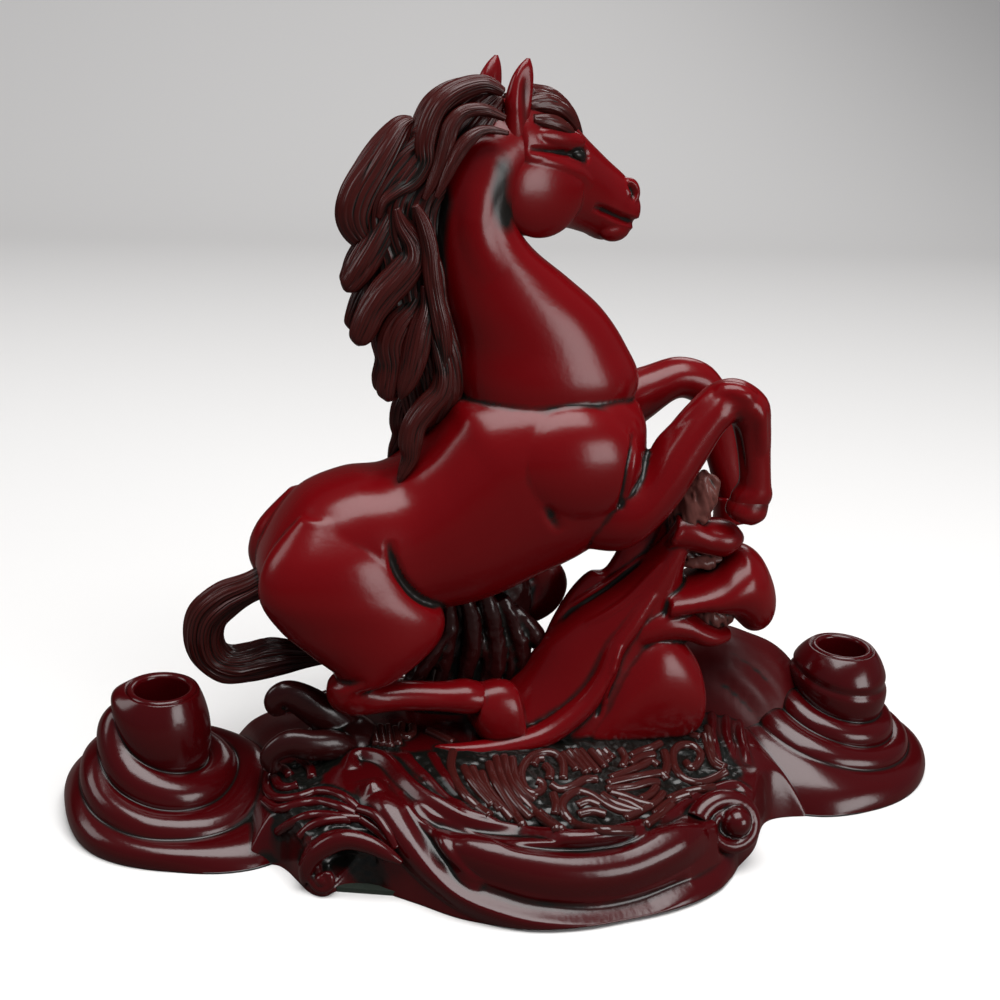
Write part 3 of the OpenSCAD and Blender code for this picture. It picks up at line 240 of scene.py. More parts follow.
# strands of water under the belly: path and half width in pixels
STRAND_PX = [
    [(446, 594, 6), (450, 622, 8), (446, 655, 8), (436, 695, 6)],
    [(462, 590, 7), (472, 622, 9), (470, 655, 9), (458, 698, 6)],
    [(482, 588, 8), (494, 622, 10), (496, 658, 10), (486, 700, 7)],
    [(502, 596, 7), (516, 628, 10), (522, 660, 9), (516, 698, 6)],
    [(514, 608, 6), (536, 634, 9), (546, 662, 8), (538, 694, 6)],
    [(450, 626, 7), (434, 650, 9), (417, 674, 10), (402, 700, 7)],
    [(478, 634, 4), (488, 662, 5), (480, 692, 4)], [(506, 634, 4), (512, 662, 5), (503, 692, 4)]]
STRAND_Y = -1.6

# edges of the base between its two lobes, seen from above
FRONT_EDGE = np.array([
    [-60, -23.2], [-54.4, -23.4], [-52, -25.6], [-50.2, -29.8], [-48.4, -33.8], [-46, -35.4],
    [-43.6, -34.2], [-41, -33.6], [-37, -34.4], [-33.8, -36.8], [-28.9, -40.8], [-20.9, -47.2],
    [-8.9, -51.6], [6.6, -51.7], [24.6, -47.6], [41.1, -35.9], [49.8, -25], [60, -24.3]])
BACK_EDGE = np.array([
    [-60, 21], [-52, 23.6], [-38, 28], [-15, 32], [10, 32.8], [30, 30.6], [44, 27], [52, 24], [60, 20.6]])
END_X = 60
BACK_LIMIT = 32.3
FLOOR_GAP = 0.05

# pen mounds: for each bearing in degrees the creases between the tiers, as radius and height, below the mouth
MOUTH = [6.9, 28]
LEFT_TIERS = {
    0: [[8.8, 11.5], [15, 9.6], [22, 8.6], [30, 7]],
    45: [[9, 13], [14.5, 10.5], [20.5, 7.5], [28, 0]],
    90: [[9.2, 16], [13.5, 12], [18.5, 7], [25.2, 0]],
    135: [[9.4, 21], [12.8, 14], [17.5, 8.5], [23.4, 0]],
    180: [[9.5, 24], [12.3, 14.5], [16.2, 8.3], [18.7, 0]],
    225: [[9, 17.5], [12.5, 10.5], [17, 5.8], [20, 0]],
    270: [[8.4, 13.6], [13, 7.6], [18.7, 4.5], [22.6, 0]],
    315: [[8.6, 12], [14, 7], [21, 4.6], [31, 0]]}
RIGHT_TIERS = {
    0: [[10.6, 13.6], [14, 9], [18.4, 5.6], [23.6, 0]],
    45: [[10.5, 14], [14, 9.8], [18.6, 6], [25.4, 0]],
    90: [[10.4, 15], [14, 11], [18.8, 7], [26, 0]],
    135: [[10.3, 17], [14.6, 13.6], [20.5, 11], [29.6, 6]],
    180: [[10.3, 18], [15.4, 15.6], [22, 13.6], [29.5, 8]],
    225: [[10.3, 15.6], [14.8, 12.4], [21, 9.6], [30.6, 0]],
    270: [[10.4, 13.8], [13.8, 9.4], [18.2, 6], [24.4, 0]],
    315: [[10.5, 13.2], [13.8, 8.6], [17.8, 5.2], [22.2, 0]]}
# mounds: x of the bore, creases, how far each tier bulges, depth of the groove round the neck
MOUNDS = [
    ("left_pen_mound", -74, LEFT_TIERS, [1.6, 1.7, 1.7, 1.9], 0),
    ("right_pen_mound", 76.5, RIGHT_TIERS, [2.2, 1.4, 1.5, 1.7], 0.5)]
BORE_R = 5.3
BORE_FLOOR = 6
BORE_CORNER = (0.5, 0.4)
BORE_RINGS = np.linspace(8, 27, 12)
LIP_ROUND = 0.8
LIP_STEPS = 9
FOOT_INSET = 1.2
FOOT_EDGE = 0.4
MOUND_SIDES = 300
TIER_STEPS = (40, 26, 26, 26)
TIER_BULGE = 0.75                           # below 1 the tiers are fuller than a sine
WAIST_AT = 0.55                             # share of the neck above the groove, and the softness of it
WAIST_SOFT = 0.07
# the mounds are rubbed outside the neck and above the foot, and both fade in
MOUND_RUBS = 14
NECK_R = 7.2
FOOT_KEPT = 0.1
RUB_FADE = 1.5

# heights of the bank between the mounds: rows from front to back, columns from left to right
BANK_X = np.array([-58, -48, -39, -30, -20, -8, 4, 16, 28, 38, 48, 58])
BANK_Y = np.array([-54, -46, -38, -30, -22, -14, -4, 8, 20, 33])
BANK_Z = np.array([
    [7, 8, 10, 12, 13, 14, 14, 14, 13, 11, 9, 8],
    [7, 8, 11, 13, 14, 14.5, 14.5, 14, 13, 11, 9, 8],
    [8, 9, 12.5, 13.5, 12.5, 12, 12, 12, 11.5, 10.5, 9, 8],
    [8.5, 11, 14.5, 16, 15, 14.2, 14, 13.5, 12.5, 11, 9.5, 9],
    [9, 12.5, 15.5, 16.5, 16.5, 16, 15.5, 14.8, 14, 12.5, 11, 10],
    [9.5, 13, 16, 17, 17.2, 17.2, 17, 16.5, 15.5, 14.5, 13, 12],
    [10, 13.5, 16.5, 17.5, 18, 18, 17.5, 17, 16.5, 15.5, 14.5, 13],
    [10, 13, 16, 17, 17.5, 17.5, 17.5, 17, 16.5, 15.5, 14.5, 12],
    [9, 11.5, 13.5, 14.5, 15, 15, 15, 15, 14.5, 13.5, 12, 10],
    [6, 8, 9, 10, 10, 10, 10, 10, 10, 9, 8, 7]])
# rolled edges of the bank: height that they reach and softness, and how softly the heights join
FRONT_ROLL = (21, 5.4)
BACK_ROLL = (21, 6.5)
END_ROLL = (24, 11)
ROLL_BLEND = 0.8
BANK_GRID = ((300, 290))
BANK_SAMPLES = 900
FLOOR_EVERY = 10                            # the underside needs only every tenth point

# curls of the base: x, y, z, half height, half width
HIGH_CURL = [
    [-34, -3, 14, 3, 4], [-39.9, -4.4, 19.8, 3.2, 4], [-43.4, -5, 23.2, 2.9, 3.8],
    [-47.1, -5, 26, 2.4, 3.4], [-50, -5, 27.2, 2, 3], [-51.8, -5, 26, 1.7, 2.6],
    [-51.6, -5, 24.2, 1.3, 2], [-50, -5, 23.6, 0.5, 0.9]]
LOW_CURL = [
    [-36, -8, 13, 2.4, 3.4], [-40.7, -10, 17.4, 2.6, 3.4], [-45.4, -11, 18.6, 2.4, 3.2],
    [-49.3, -11, 19.4, 2.1, 3], [-52, -11, 18.4, 1.8, 2.6], [-53.6, -11, 16.6, 1.5, 2.2],
    [-53, -11, 14.6, 1.2, 1.8], [-51.4, -11, 14.2, 0.5, 0.8]]
LEFT_CURL_FOOT = ((-38, -4, 15), (8, 7, 6))
LEAF_LIP = [
    [-49, -31.6, 0.9, 0.9, 0.8], [-49.2, -32.6, 4, 1.5, 1.3], [-47.8, -33.2, 7.6, 1.8, 1.5],
    [-45.2, -33.8, 10.2, 2, 1.6], [-41.8, -34.6, 11.6, 2, 1.6], [-37.8, -36, 11, 1.8, 1.5],
    [-34.6, -37.6, 9.6, 1.4, 1.2], [-32, -38.8, 8.2, 0.5, 0.5]]
LEAF_CURL = [
    [-48.4, -32.4, 5, 0.7, 0.7], [-47.9, -33.6, 2.6, 1, 1], [-46.4, -34.8, 1.6, 1.1, 1.1],
    [-44.9, -35.2, 2.6, 1, 1], [-45, -35, 4.4, 0.8, 0.8], [-46.2, -34.8, 4.8, 0.4, 0.4]]
LEAF_CURL_CORE = ((-46.2, -34.4, 3.2), (1.5, 1.5, 1.5))
# volute at the end of the front scroll: middle, axes, half sizes and girth of its outer turn
VOLUTE_AT = np.array([34, -38.2, 9])
VOLUTE_RIGHT = np.array([0.998, 0.059, 0.0])
VOLUTE_UP = np.array([-0.031, 0.521, 0.853])
VOLUTE_OUT = np.cross(VOLUTE_RIGHT, VOLUTE_UP)
VOLUTE_WIDE = 6.7
VOLUTE_TALL = 5.8
VOLUTE_GIRTH = 2.4
VOLUTE_TURN = np.linspace(158, -330, 70)    # degrees
# how much the volute winds in, thins and stands out towards its end
VOLUTE_SHRINK = 0.62
VOLUTE_THIN = 0.66
VOLUTE_RISE = 0.9
# lumps along the axes of the volute: ball in its eye and mass behind it
VOLUTE_BALL = ((1.2, 0.8, 1.6), (3, 3, 3))
VOLUTE_MASS = ((0, 0, -3.4), (6.6, 4.6, 6.2))

# carving in pixels of the photograph: path, half width in mm, height in mm, share that tapers
BANK_CARVING = [
    ([(368, 780), (375, 795), (388, 815), (405, 840), (425, 863), (450, 884), (480, 902), (520, 916),
      (560, 922), (620, 918), (690, 898), (738, 866)], 3.7, 2, 0.1),
    ([(371, 784), (376, 797)], 3, 1.4, 0.4),
    ([(408, 806), (424, 834), (442, 860), (466, 884), (505, 900), (543, 909), (600, 911), (650, 900),
      (690, 880)], 2, -1.3, 0.15),
    ([(434, 830), (448, 853), (462, 872), (482, 888)], 1.8, 0.9, 0.25),
    ([(436, 831), (455, 840), (487, 854), (520, 865), (567, 874), (617, 871), (650, 860), (682, 843),
      (704, 826)], 4.8, 1.6, 0.12),
    ([(402, 792), (425, 815), (450, 828), (480, 838), (520, 846), (570, 850), (620, 845),
      (655, 831)], 1.4, -1.1, 0.2),
    ([(353, 770), (351, 760), (361, 755), (378, 757), (391, 765), (405, 781), (423, 796), (446, 809),
      (473, 822), (520, 833), (570, 838), (620, 833), (652, 821)], 2.1, 1.7, 0.06),
    ([(303, 872), (310, 855), (325, 842), (340, 836), (360, 838), (380, 845),
      (396, 851)], 1.8, 1.5, 0.08),
    ([(318, 868), (332, 862), (346, 870)], 4.4, -3.2, 0.3),
    ([(400, 752), (425, 775), (450, 800), (475, 815), (500, 822)], 1.6, 1, 0.1),
    ([(430, 752), (445, 775), (462, 797), (480, 812)], 1.4, 0.8, 0.1),
    ([(414, 757), (436, 780), (458, 803)], 0.9, -0.7, 0.2),
    ([(650, 826), (670, 815), (690, 800), (712, 790), (735, 785), (752, 795)], 1.7, 1, 0.1),
    ([(718, 828), (736, 824)], 6.4, -2.6, 0.45),
    ([(708, 668), (714, 692), (712, 720), (716, 750), (728, 775)], 1.2, 0.7, 0.15),
    ([(722, 664), (728, 692), (726, 725), (733, 760)], 1.2, 0.7, 0.15),
    ([(737, 680), (741, 702), (741, 735), (748, 765)], 1.2, 0.7, 0.15)]
WAVE_CARVING = [
    ([(613, 672), (606, 695), (597, 718)], 0.9, -0.8, 0.2),
    ([(621, 645), (611, 678), (604, 705)], 1, 0.6, 0.2),
    ([(690, 512), (675, 540), (650, 575), (620, 605), (585, 625)], 1, 0.4, 0.15),
    ([(680, 520), (655, 548), (620, 574), (585, 597), (562, 614)], 0.9, 0.4, 0.15),
    ([(668, 530), (640, 562), (606, 588), (575, 606), (556, 622)], 0.9, -0.35, 0.15)]
SWELL_CARVING = [
    ([(726, 636), (750, 645), (772, 660), (788, 680)], 1.8, 0.5, 0.3),
    ([(714, 645), (738, 656), (762, 674), (782, 698)], 1.4, -0.5, 0.3),
    ([(708, 660), (730, 670), (753, 688), (772, 712)], 1.8, 0.6, 0.3),
    ([(704, 676), (724, 686), (744, 703), (762, 724)], 1.4, -0.5, 0.3)]
BODY_CARVING = [
    ([(500, 165), (488, 182), (478, 205), (475, 230), (481, 256), (496, 278)], 3.4, 0.6, 0.5),
    ([(632, 432), (629, 470), (620, 510)], 1.3, -0.9, 0.25),
    ([(545, 505), (553, 520), (562, 532)], 1.6, -0.5, 0.4),
    ([(388, 540), (393, 560), (402, 580), (418, 598), (440, 610)], 1.4, -0.9, 0.2),
    ([(340, 680), (353, 683), (366, 681)], 1.4, -0.3, 0.4),
    ([(735, 425), (741, 452), (744, 475)], 1.1, -0.6, 0.3),
    ([(648, 450), (682, 418), (714, 389)], 1.8, 0.5, 0.2),
    ([(714, 389), (738, 390), (757, 400)], 2.2, 0.8, 0.25),
    ([(757, 400), (762, 425), (763, 455)], 1.8, 0.6, 0.3),
    ([(722, 402), (736, 410), (744, 424)], 2.4, -0.5, 0.4)]
# painted shade on the body, behind the jaw and between mane and neck: path in pixels, half width in mm,
# strength, share that fades
BODY_PAINTED_SHADE = [
    ([(512, 152), (503, 170), (499, 195), (505, 218), (514, 236)], 3.4, 0.8, 0.2),
    ([(448, 180), (440, 230), (442, 290), (450, 340), (454, 385)], 3, 0.8, 0.2)]
# carving of the head and painted shade round the eye, before it is turned, on the far side: path in mm, then
# the same values
HEAD_CARVING = [
    ([[8.6, 5.2, 124.4], [12, 4.9, 123.4], [16, 4.6, 122], [20, 4, 120.9], [23.4, 1.5, 120.4]],
     1.2, -1.1, 0.2),
    ([[17, 4.8, 129.6], [18.8, 4.6, 128], [19.6, 4.4, 126.4], [18.6, 4.4, 125.4]], 1.1, -1.3, 0.25),
    ([[-9, 6.8, 135.6], [-4, 7, 135.2], [1, 6.9, 134.6], [4.5, 6.2, 133.6]], 0.9, -0.8, 0.3),
    ([[4.6, 6, 136.6], [6, 5.6, 134.6], [5.2, 5.8, 132.8]], 1, -0.6, 0.3),
    ([[-11.4, 6.6, 135], [-8, 7.2, 134.2], [-2, 7.6, 133], [4, 6.8, 131], [7.5, 6, 128.5]], 1.3, 0.35, 0.3)]
HEAD_PAINTED_SHADE = [([[0.5, 6.2, 135], [3.2, 6, 134.6], [5.8, 5.4, 133.6]], 2, 1.5, 0.3)]
# fine raised lines of the foam and of the leaf: girth in mm, path in pixels
FOAM_LINES = [
    (0.5, [(453, 752), (451, 766), (456, 782), (466, 797), (478, 808), (490, 816)]),
    (0.3, [(464, 768), (470, 780), (480, 793), (492, 806)]),
    (0.3, [(472, 768), (478, 782), (490, 798), (501, 811)]),
    (0.34, [(481, 773), (488, 790), (500, 806), (512, 820)]),
    (0.4, [(489, 764), (494, 780), (504, 798), (517, 818), (523, 826)]),
    (0.5, [(496, 758), (502, 780), (514, 801), (531, 819)]),
    (0.56, [(504, 757), (509, 778), (520, 797), (538, 815), (558, 830)]),
    (0.4, [(512, 759), (515, 778), (524, 792), (535, 801)]),
    (0.34, [(538, 812), (549, 821), (562, 830)]),
    (0.45, [(563, 780), (563, 765), (556, 755), (545, 753), (532, 757), (523, 767), (521, 778),
            (525, 789), (533, 794), (541, 791), (542, 784), (536, 781)]),
    (0.28, [(533, 766), (537, 760), (544, 759)]),
    (0.28, [(545, 766), (550, 772), (549, 780)]),
    (0.3, [(551, 785), (560, 790), (572, 787), (585, 780), (597, 780)]),
    (0.28, [(553, 795), (556, 805), (555, 815)]),
    (0.32, [(562, 754), (570, 763), (577, 771)]),
    (0.36, [(568, 751), (577, 762), (587, 774)]),
    (0.32, [(574, 751), (582, 761), (591, 772)]),
    (0.36, [(580, 751), (588, 761), (598, 773)]),
    (0.3, [(590, 751), (597, 759), (605, 768)]),
    (0.3, [(596, 751), (602, 757), (609, 763)]),
    (0.28, [(603, 750), (608, 755), (613, 759)]),
    (0.48, [(633, 831), (600, 830), (576, 825), (565, 815), (562, 805), (567, 797), (578, 792),
            (592, 796), (607, 806), (622, 812), (635, 812)]),
    (0.28, [(577, 806), (588, 802), (600, 806)]),
    (0.28, [(578, 815), (592, 812), (606, 815)]),
    (0.3, [(620, 750), (625, 759), (622, 768)]),
    (0.32, [(630, 757), (640, 752), (652, 748), (660, 744)]),
    (0.32, [(630, 765), (640, 758), (654, 755)]),
    (0.46, [(610, 779), (625, 773), (640, 767), (650, 762), (658, 766)]),
    (0.36, [(607, 784), (625, 780), (645, 776), (660, 774), (667, 780)]),
    (0.36, [(606, 790), (620, 789), (635, 787), (648, 783), (658, 783)]),
    (0.36, [(602, 795), (613, 803), (626, 808), (640, 812)]),
    (0.34, [(610, 793), (625, 797), (640, 803), (653, 806)]),
    (0.3, [(618, 800), (630, 804), (643, 812)]),
    (0.36, [(625, 819), (640, 812), (655, 803), (663, 794)]),
    (0.32, [(640, 800), (650, 795), (656, 788)]),
    (0.36, [(655, 815), (665, 806), (675, 800), (690, 795)]),
    (0.36, [(645, 825), (660, 815), (672, 805)]),
    (0.4, [(668, 800), (685, 793), (700, 790), (713, 788)]),
    (0.46, [(686, 763), (691, 768), (698, 763), (700, 754), (692, 746), (680, 746), (673, 754),
            (675, 769), (685, 780), (700, 783), (715, 778), (726, 772)]),
    (0.3, [(664, 752), (667, 765), (664, 776)]),
    (0.36, [(704, 735), (708, 750), (714, 764), (724, 770)]),
    (0.38, [(690, 712), (684, 722), (688, 733), (700, 738)]),
    (0.38, [(707, 728), (710, 745), (713, 760), (725, 768)]),
    (0.34, [(373, 728), (375, 736), (377, 745)]),
    (0.34, [(380, 727), (382, 736), (384, 746)]),
    (0.34, [(388, 727), (389, 737), (390, 747)]),
    (0.34, [(395, 729), (397, 737), (398, 745)]),
    (0.36, [(402, 725), (401, 733), (406, 737), (412, 733), (412, 727)]),
    (0.36, [(427, 730), (440, 736), (453, 743)])]
LEAF_VEINS = [
    (0.7, [(290, 776), (285, 770), (278, 769), (270, 776), (267, 787), (272, 796), (283, 799), (300, 797),
           (315, 792), (330, 792), (345, 798), (358, 809)]),
    (0.55, [(275, 778), (280, 786), (290, 788), (298, 785)]),
    (0.7, [(265, 800), (275, 808), (285, 808), (300, 804), (320, 802), (340, 807), (355, 814)]),
    (0.75, [(278, 832), (290, 824), (305, 817), (320, 815), (345, 817), (360, 818)]),
    (0.75, [(300, 837), (312, 826), (330, 820), (350, 819)]),
    (0.7, [(358, 809), (375, 815), (388, 832), (396, 848)]),
    (0.7, [(360, 818), (380, 832), (396, 848)]),
    (0.5, [(300, 760), (310, 768), (312, 778)])]
# lines of foam on the back of the bank, seen from above, mm
BACK_LINES = [
    [(-44, 12), (-34, 16), (-22, 17), (-12, 14), (-8, 18), (-14, 21)],
    [(-45, 14.5), (-35, 18.5), (-22, 20), (-14, 22.5)],
    [(-48, 17), (-36, 21), (-22, 23), (-8, 23), (4, 20)],
    [(-46, 20), (-34, 24), (-20, 26), (-6, 26), (6, 23)],
    [(-30, 25), (-14, 28), (4, 28.5), (20, 26), (32, 22)],
    [(0, 16), (10, 19), (20, 18), (26, 14), (23, 11), (19, 13)],
    [(-2, 13), (6, 14), (12, 12), (14, 9)],
    [(8, 23), (20, 22), (32, 18), (40, 15)],
    [(12, 26), (22, 24.5), (34, 20.5), (42, 17)],
    [(28, 12), (33, 14), (38, 12), (37, 9)],
    [(-40, 9), (-34, 12), (-28, 11), (-29, 8)]]
BACK_GIRTH = 0.6
ABOVE_BANK = 60
# ground between the raised lines, seen from above, mm
FOAM_GROUND = [
    (-27, -14), (25, -14), (42, -5), (44, -24), (30, -31), (17, -38.5), (4, -44.5), (-7, -43),
    (-13, -36.5), (-20, -33), (-25, -28)]
LEAF_GROUND = [
    (-55, -8), (-46, -8), (-44, -18), (-38, -28), (-33.5, -36.5), (-37, -34.5), (-42, -32.5),
    (-47, -31.5), (-50, -28), (-54, -20)]
CREVICE_GROUND = [(-50, -8), (-30, -8), (-27, -14), (-34, -11), (-40, -14), (-44, -16)]
GROUND_RUBS = 6
GROUND_GRAIN = 1.1
GROUND_HEIGHT = 0.3
RIDGE_CLEAR = 0.6                           # height of carving at which the ground ends, mm

# modelling
EDGE_KEY = 10**7                            # more than the points of any piece
RUB_PULLS = (0.5, -0.52)                    # each rub pulls the skin in and lets it out again
BEAD_INPUTS = {"Bead sides": 10, "Girth factor": 1.0}
# dark wash and painted shade: rubs and gain for each reach of the hollows, then how the painted shade gathers
# where pieces meet, mm
HOLLOW_GAINS = ((3, 3.0), (12, 1.6), (40, 0.7))
HOLLOW_PULL = 0.7
STAIN_AND_SHADE_DEPTH = 1.2
MEET_LOOK = 1.6
MEET_SHADE_FADE = 1.2
MEET_SHADE_STRENGTH = {
    "horse_body": 0.35, "horse_head": 0.35, "near_ear": 0.35, "far_ear": 0.35, "foam_lines": 0,
    "leaf_veins": 0}
MEET_SHADE_HAIR = 1
MEET_SHADE_OTHERS = 0.8


def through(a, b, c, d, t):
    """Smooth curve from b to c for t from 0 to 1; a lies before them and d behind them."""
    return (2*b + (c - a)*t + (2*a - 5*b + 4*c - d)*t**2 + (3*b - a - 3*c + d)*t**3)/2


def between(rows, steps):
    """Rows with more rows between them, on a smooth curve."""
    rows = np.asarray(rows, float)
    last = len(rows) - 1
    t = np.linspace(0, 1, steps, endpoint=False)[:, None]
    out = [through(rows[max(i - 1, 0)], rows[i], rows[i + 1], rows[min(i + 2, last)], t) for i in range(last)]
    return np.concatenate(out + [rows[-1:]])


def unit(v):
    return v/np.maximum(np.linalg.norm(v, axis=-1, keepdims=True), 1e-9)


def sight(px):
    """Direction from the camera through a pixel of the photograph."""
    return unit(EYE_AHEAD + ((px[0] - MIDDLE_PX)*EYE_RIGHT + (px[1] - MIDDLE_PX)*EYE_DOWN)/FOCAL_PX)


def on_plane(px, y):
    """Place behind a pixel on the upright plane at the given depth."""
    d = sight(px)
    return EYE + d*(y - EYE[1])/d[1]


def seen_rows(pairs, y):
    """Rows of a loft from two edges in pixels and a half width, on an upright plane."""
    rows = []
    for top, low, half in pairs:
        a, b = on_plane(top, y), on_plane(low, y)
        rows.append([a[0], a[2], b[0], b[2], half, y])
    return rows


def seen_path(path, y):
    """Rows of a cord from a path in pixels with its half width, on an upright plane."""
    return np.array([[*on_plane((u, v), y), half/PX_PER_MM, half/PX_PER_MM] for u, v, half in path])


def other_side(rows, column, middle):
    """The same rows on the other side of an upright plane."""
    rows = np.array(rows, float)
    rows[:, column] = 2*middle - rows[:, column]
    return rows


def joined(parts):
    """Points and faces of all the parts as one."""
    V = np.concatenate([v for v, f in parts])
    base = np.cumsum([0] + [len(v) for v, f in parts[:-1]])
    return V, np.concatenate([f + b for (v, f), b in zip(parts, base)])


def tree_of(*skins):
    V, F = joined(skins)
    return BVHTree.FromPolygons(V.tolist(), F.tolist())


def on_skin(tree, path):
    """Places on a skin behind the pixels of a path."""
    hits = [tree.ray_cast(Vector(EYE), Vector(sight(px)))[0] for px in path]
    return np.array([list(h) for h in hits if h is not None])


def outward(V, F):
    """Faces turned so that they point out of the closed skin."""
    a, b, c, d = (V[F[:, k]] for k in range(4))
    volume = np.einsum("ij,ij->", a, np.cross(b, c)) + np.einsum("ij,ij->", a, np.cross(c, d))
    return F if volume > 0 else F[:, ::-1]


def skin(rings):
    """Closed skin over rings of equal count: points and faces of four corners."""
    m, n, _ = rings.shape
    V = np.concatenate([rings.reshape(-1, 3), rings[0].mean(0)[None], rings[-1].mean(0)[None]])
    i, k = np.meshgrid(np.arange(m - 1), np.arange(n), indexing="ij")
    a = (i*n + k).ravel()
    b = (i*n + (k + 1) % n).ravel()
    wall = np.c_[a, b, b + n, a + n]
    k = np.arange(n)
    after = (k + 1) % n
    rim = (m - 1)*n
    first = np.c_[np.full(n, m*n), after, k, k]
    last = np.c_[np.full(n, m*n + 1), rim + k, rim + after, rim + after]
    return V, outward(V, np.concatenate([wall, first, last]))


def bend(v, e):
    return np.sign(v)*np.abs(v)**e


def strands(count, sides, hair, depth, twist):
    """Angles round a ring, and the share of the radius there: 1, or less in the uneven grooves of hair."""
    ang = np.linspace(0, 2*np.pi, sides, endpoint=False)
    if not hair:
        return ang, np.ones((count, sides))
    a, k = ang[None], np.linspace(0, 1, count)[:, None]
    cut = np.zeros((count, sides))
    coarse = ((0.6, hair//4, 0.7), (0.2, hair, 0.5))
    fine = ((0.12, 2*hair - 3, -0.8), (0.08, 3*hair + 5, 0.4))
    for share, number, sway in coarse + fine:
        cut += share*np.abs(np.cos(number*a/2 + twist*number/hair*k + sway*np.sin(7*k + number)))
    return ang, 1 + depth*(cut - 1)


def loft(rows, sides=44, steps=8, full=1.0, y=0.0, hair=0, depth=0.0, twist=0.0):
    """Body between two outlines, plain or grooved like hair."""
    s = between(rows, steps)
    mid = np.c_[(s[:, 0] + s[:, 2])/2, s[:, 5] + y, (s[:, 1] + s[:, 3])/2]
    arm = np.c_[(s[:, 0] - s[:, 2])/2, 0*s[:, 0], (s[:, 1] - s[:, 3])/2]
    ang, swell = strands(len(s), sides, hair, depth, twist)
    rings = mid[:, None] + arm[:, None]*(bend(np.cos(ang), full)[None]*swell)[:, :, None]
    rings[:, :, 1] += s[:, 4, None]*bend(np.sin(ang), full)[None]*swell
    return skin(rings)


def cord(rows, up=BACKWARD, sides=24, steps=6, hair=0, depth=0.0, twist=0.0):
    """Cord along a path: x, y, z, half height, half width."""
    s = between(rows, steps)
    p = s[:, :3]
    t = unit(np.gradient(p, axis=0))
    side = unit(np.cross(t, np.broadcast_to(np.array(up, float), p.shape)))
    top = np.cross(side, t)
    ang, swell = strands(len(s), sides, hair, depth, twist)
    rings = (p[:, None] + top[:, None]*(s[:, 3, None]*np.cos(ang)*swell)[:, :, None]
             + side[:, None]*(s[:, 4, None]*np.sin(ang)*swell)[:, :, None])
    return skin(rings)


def blob(centre, radii, turn=None, n=28):
    """Rounded lump."""
    a = np.linspace(0.02, np.pi - 0.02, n)[:, None]
    b = np.linspace(0, 2*np.pi, 2*n, endpoint=False)
    rings = np.stack([np.sin(a)*np.cos(b), np.sin(a)*np.sin(b), np.cos(a)*np.ones_like(b)], -1)
    rings = rings*np.array(radii, float)
    if turn is not None:
        rings = rings @ np.array(Matrix.Rotation(math.radians(turn[0]), 3, turn[1])).T
    return skin(rings + np.array(centre, float))


def on_both_sides(lumps):
    """Lumps of the near and the far side, each written as on the far side."""
    return [blob((x, s*y, z), *rest) for s in SIDES for (x, y, z), *rest in lumps]


def sided(strokes):
    """Strokes of the near and the far side, each written as on the far side."""
    return [(np.array(path)*np.array([1, s, 1]), *rest) for s in SIDES for path, *rest in strokes]


def placed(name, data):
    """New object in the scene."""
    ob = bpy.data.objects.new(name, data)
    bpy.context.scene.collection.objects.link(ob)
    return ob


def faces_of(F):
    """Faces for a mesh; the doubled corner of a triangle goes."""
    return [row if row[2] != row[3] else row[:3] for row in F.tolist()]


def taken(ob):
    """Plain points and four-cornered faces of an object after its modifiers; the object goes."""
    graph = bpy.context.evaluated_depsgraph_get()
    me = bpy.data.meshes.new_from_object(ob.evaluated_get(graph))
    V = np.empty(len(me.vertices)*3)
    me.vertices.foreach_get("co", V)
    corners = np.empty(len(me.loops), int)
    me.loops.foreach_get("vertex_index", corners)
    count = np.empty(len(me.polygons), int)
    me.polygons.foreach_get("loop_total", count)
    start = np.cumsum(count) - count
    F = corners[start[:, None] + np.minimum(np.arange(4)[None], count[:, None] - 1)]
    old = ob.data
    bpy.data.objects.remove(ob)
    bpy.data.meshes.remove(old)
    bpy.data.meshes.remove(me)
    return V.reshape(-1, 3), F


def fused(parts, grain):
    """One skin over all the parts."""
    V, F = joined(parts)
    me = bpy.data.meshes.new("clay")
    me.from_pydata(V.tolist(), [], faces_of(F))
    ob = placed("clay", me)
    mod = ob.modifiers.new("fuse", "REMESH")
    mod.mode = "VOXEL"
    mod.voxel_size = grain
    return taken(ob)


def edges_of(F):
    e = np.concatenate([F[:, [0, 1]], F[:, [1, 2]], F[:, [2, 3]], F[:, [3, 0]]])
    e = e[e[:, 0] != e[:, 1]]
    e.sort(axis=1)
    return np.stack(np.divmod(np.unique(e[:, 0]*EDGE_KEY + e[:, 1]), EDGE_KEY), 1)


def mean_of_neighbours(X, E, n):
    i = np.concatenate([E[:, 0], E[:, 1]])
    j = np.concatenate([E[:, 1], E[:, 0]])
    count = np.maximum(np.bincount(i, minlength=n), 1)
    if X.ndim == 1:
        return np.bincount(i, X[j], minlength=n)/count
    return np.stack([np.bincount(i, X[j, k], minlength=n) for k in range(X.shape[1])], 1)/count[:, None]


def rubbed(V, F, rubs, weight=1.0):
    """Skin smoothed like rubbed clay, with little loss of size."""
    E = edges_of(F)
    w = np.asarray(weight, float)
    w = w[:, None] if w.ndim else w
    for _ in range(rubs):
        for pull in RUB_PULLS:
            V = V + pull*w*(mean_of_neighbours(V, E, len(V)) - V)
    return V


def pressed(parts, grain, rubs):
    """One skin over all the parts, rubbed smooth."""
    V, F = fused(parts, grain)
    return rubbed(V, F, rubs), F


def blended(V, F, centre, reach, rubs):
    """Extra smoothing round one place."""
    d = np.linalg.norm(V - np.array(centre, float), axis=1)
    return rubbed(V, F, rubs, np.clip(1.4 - d/reach*1.4, 0, 1))


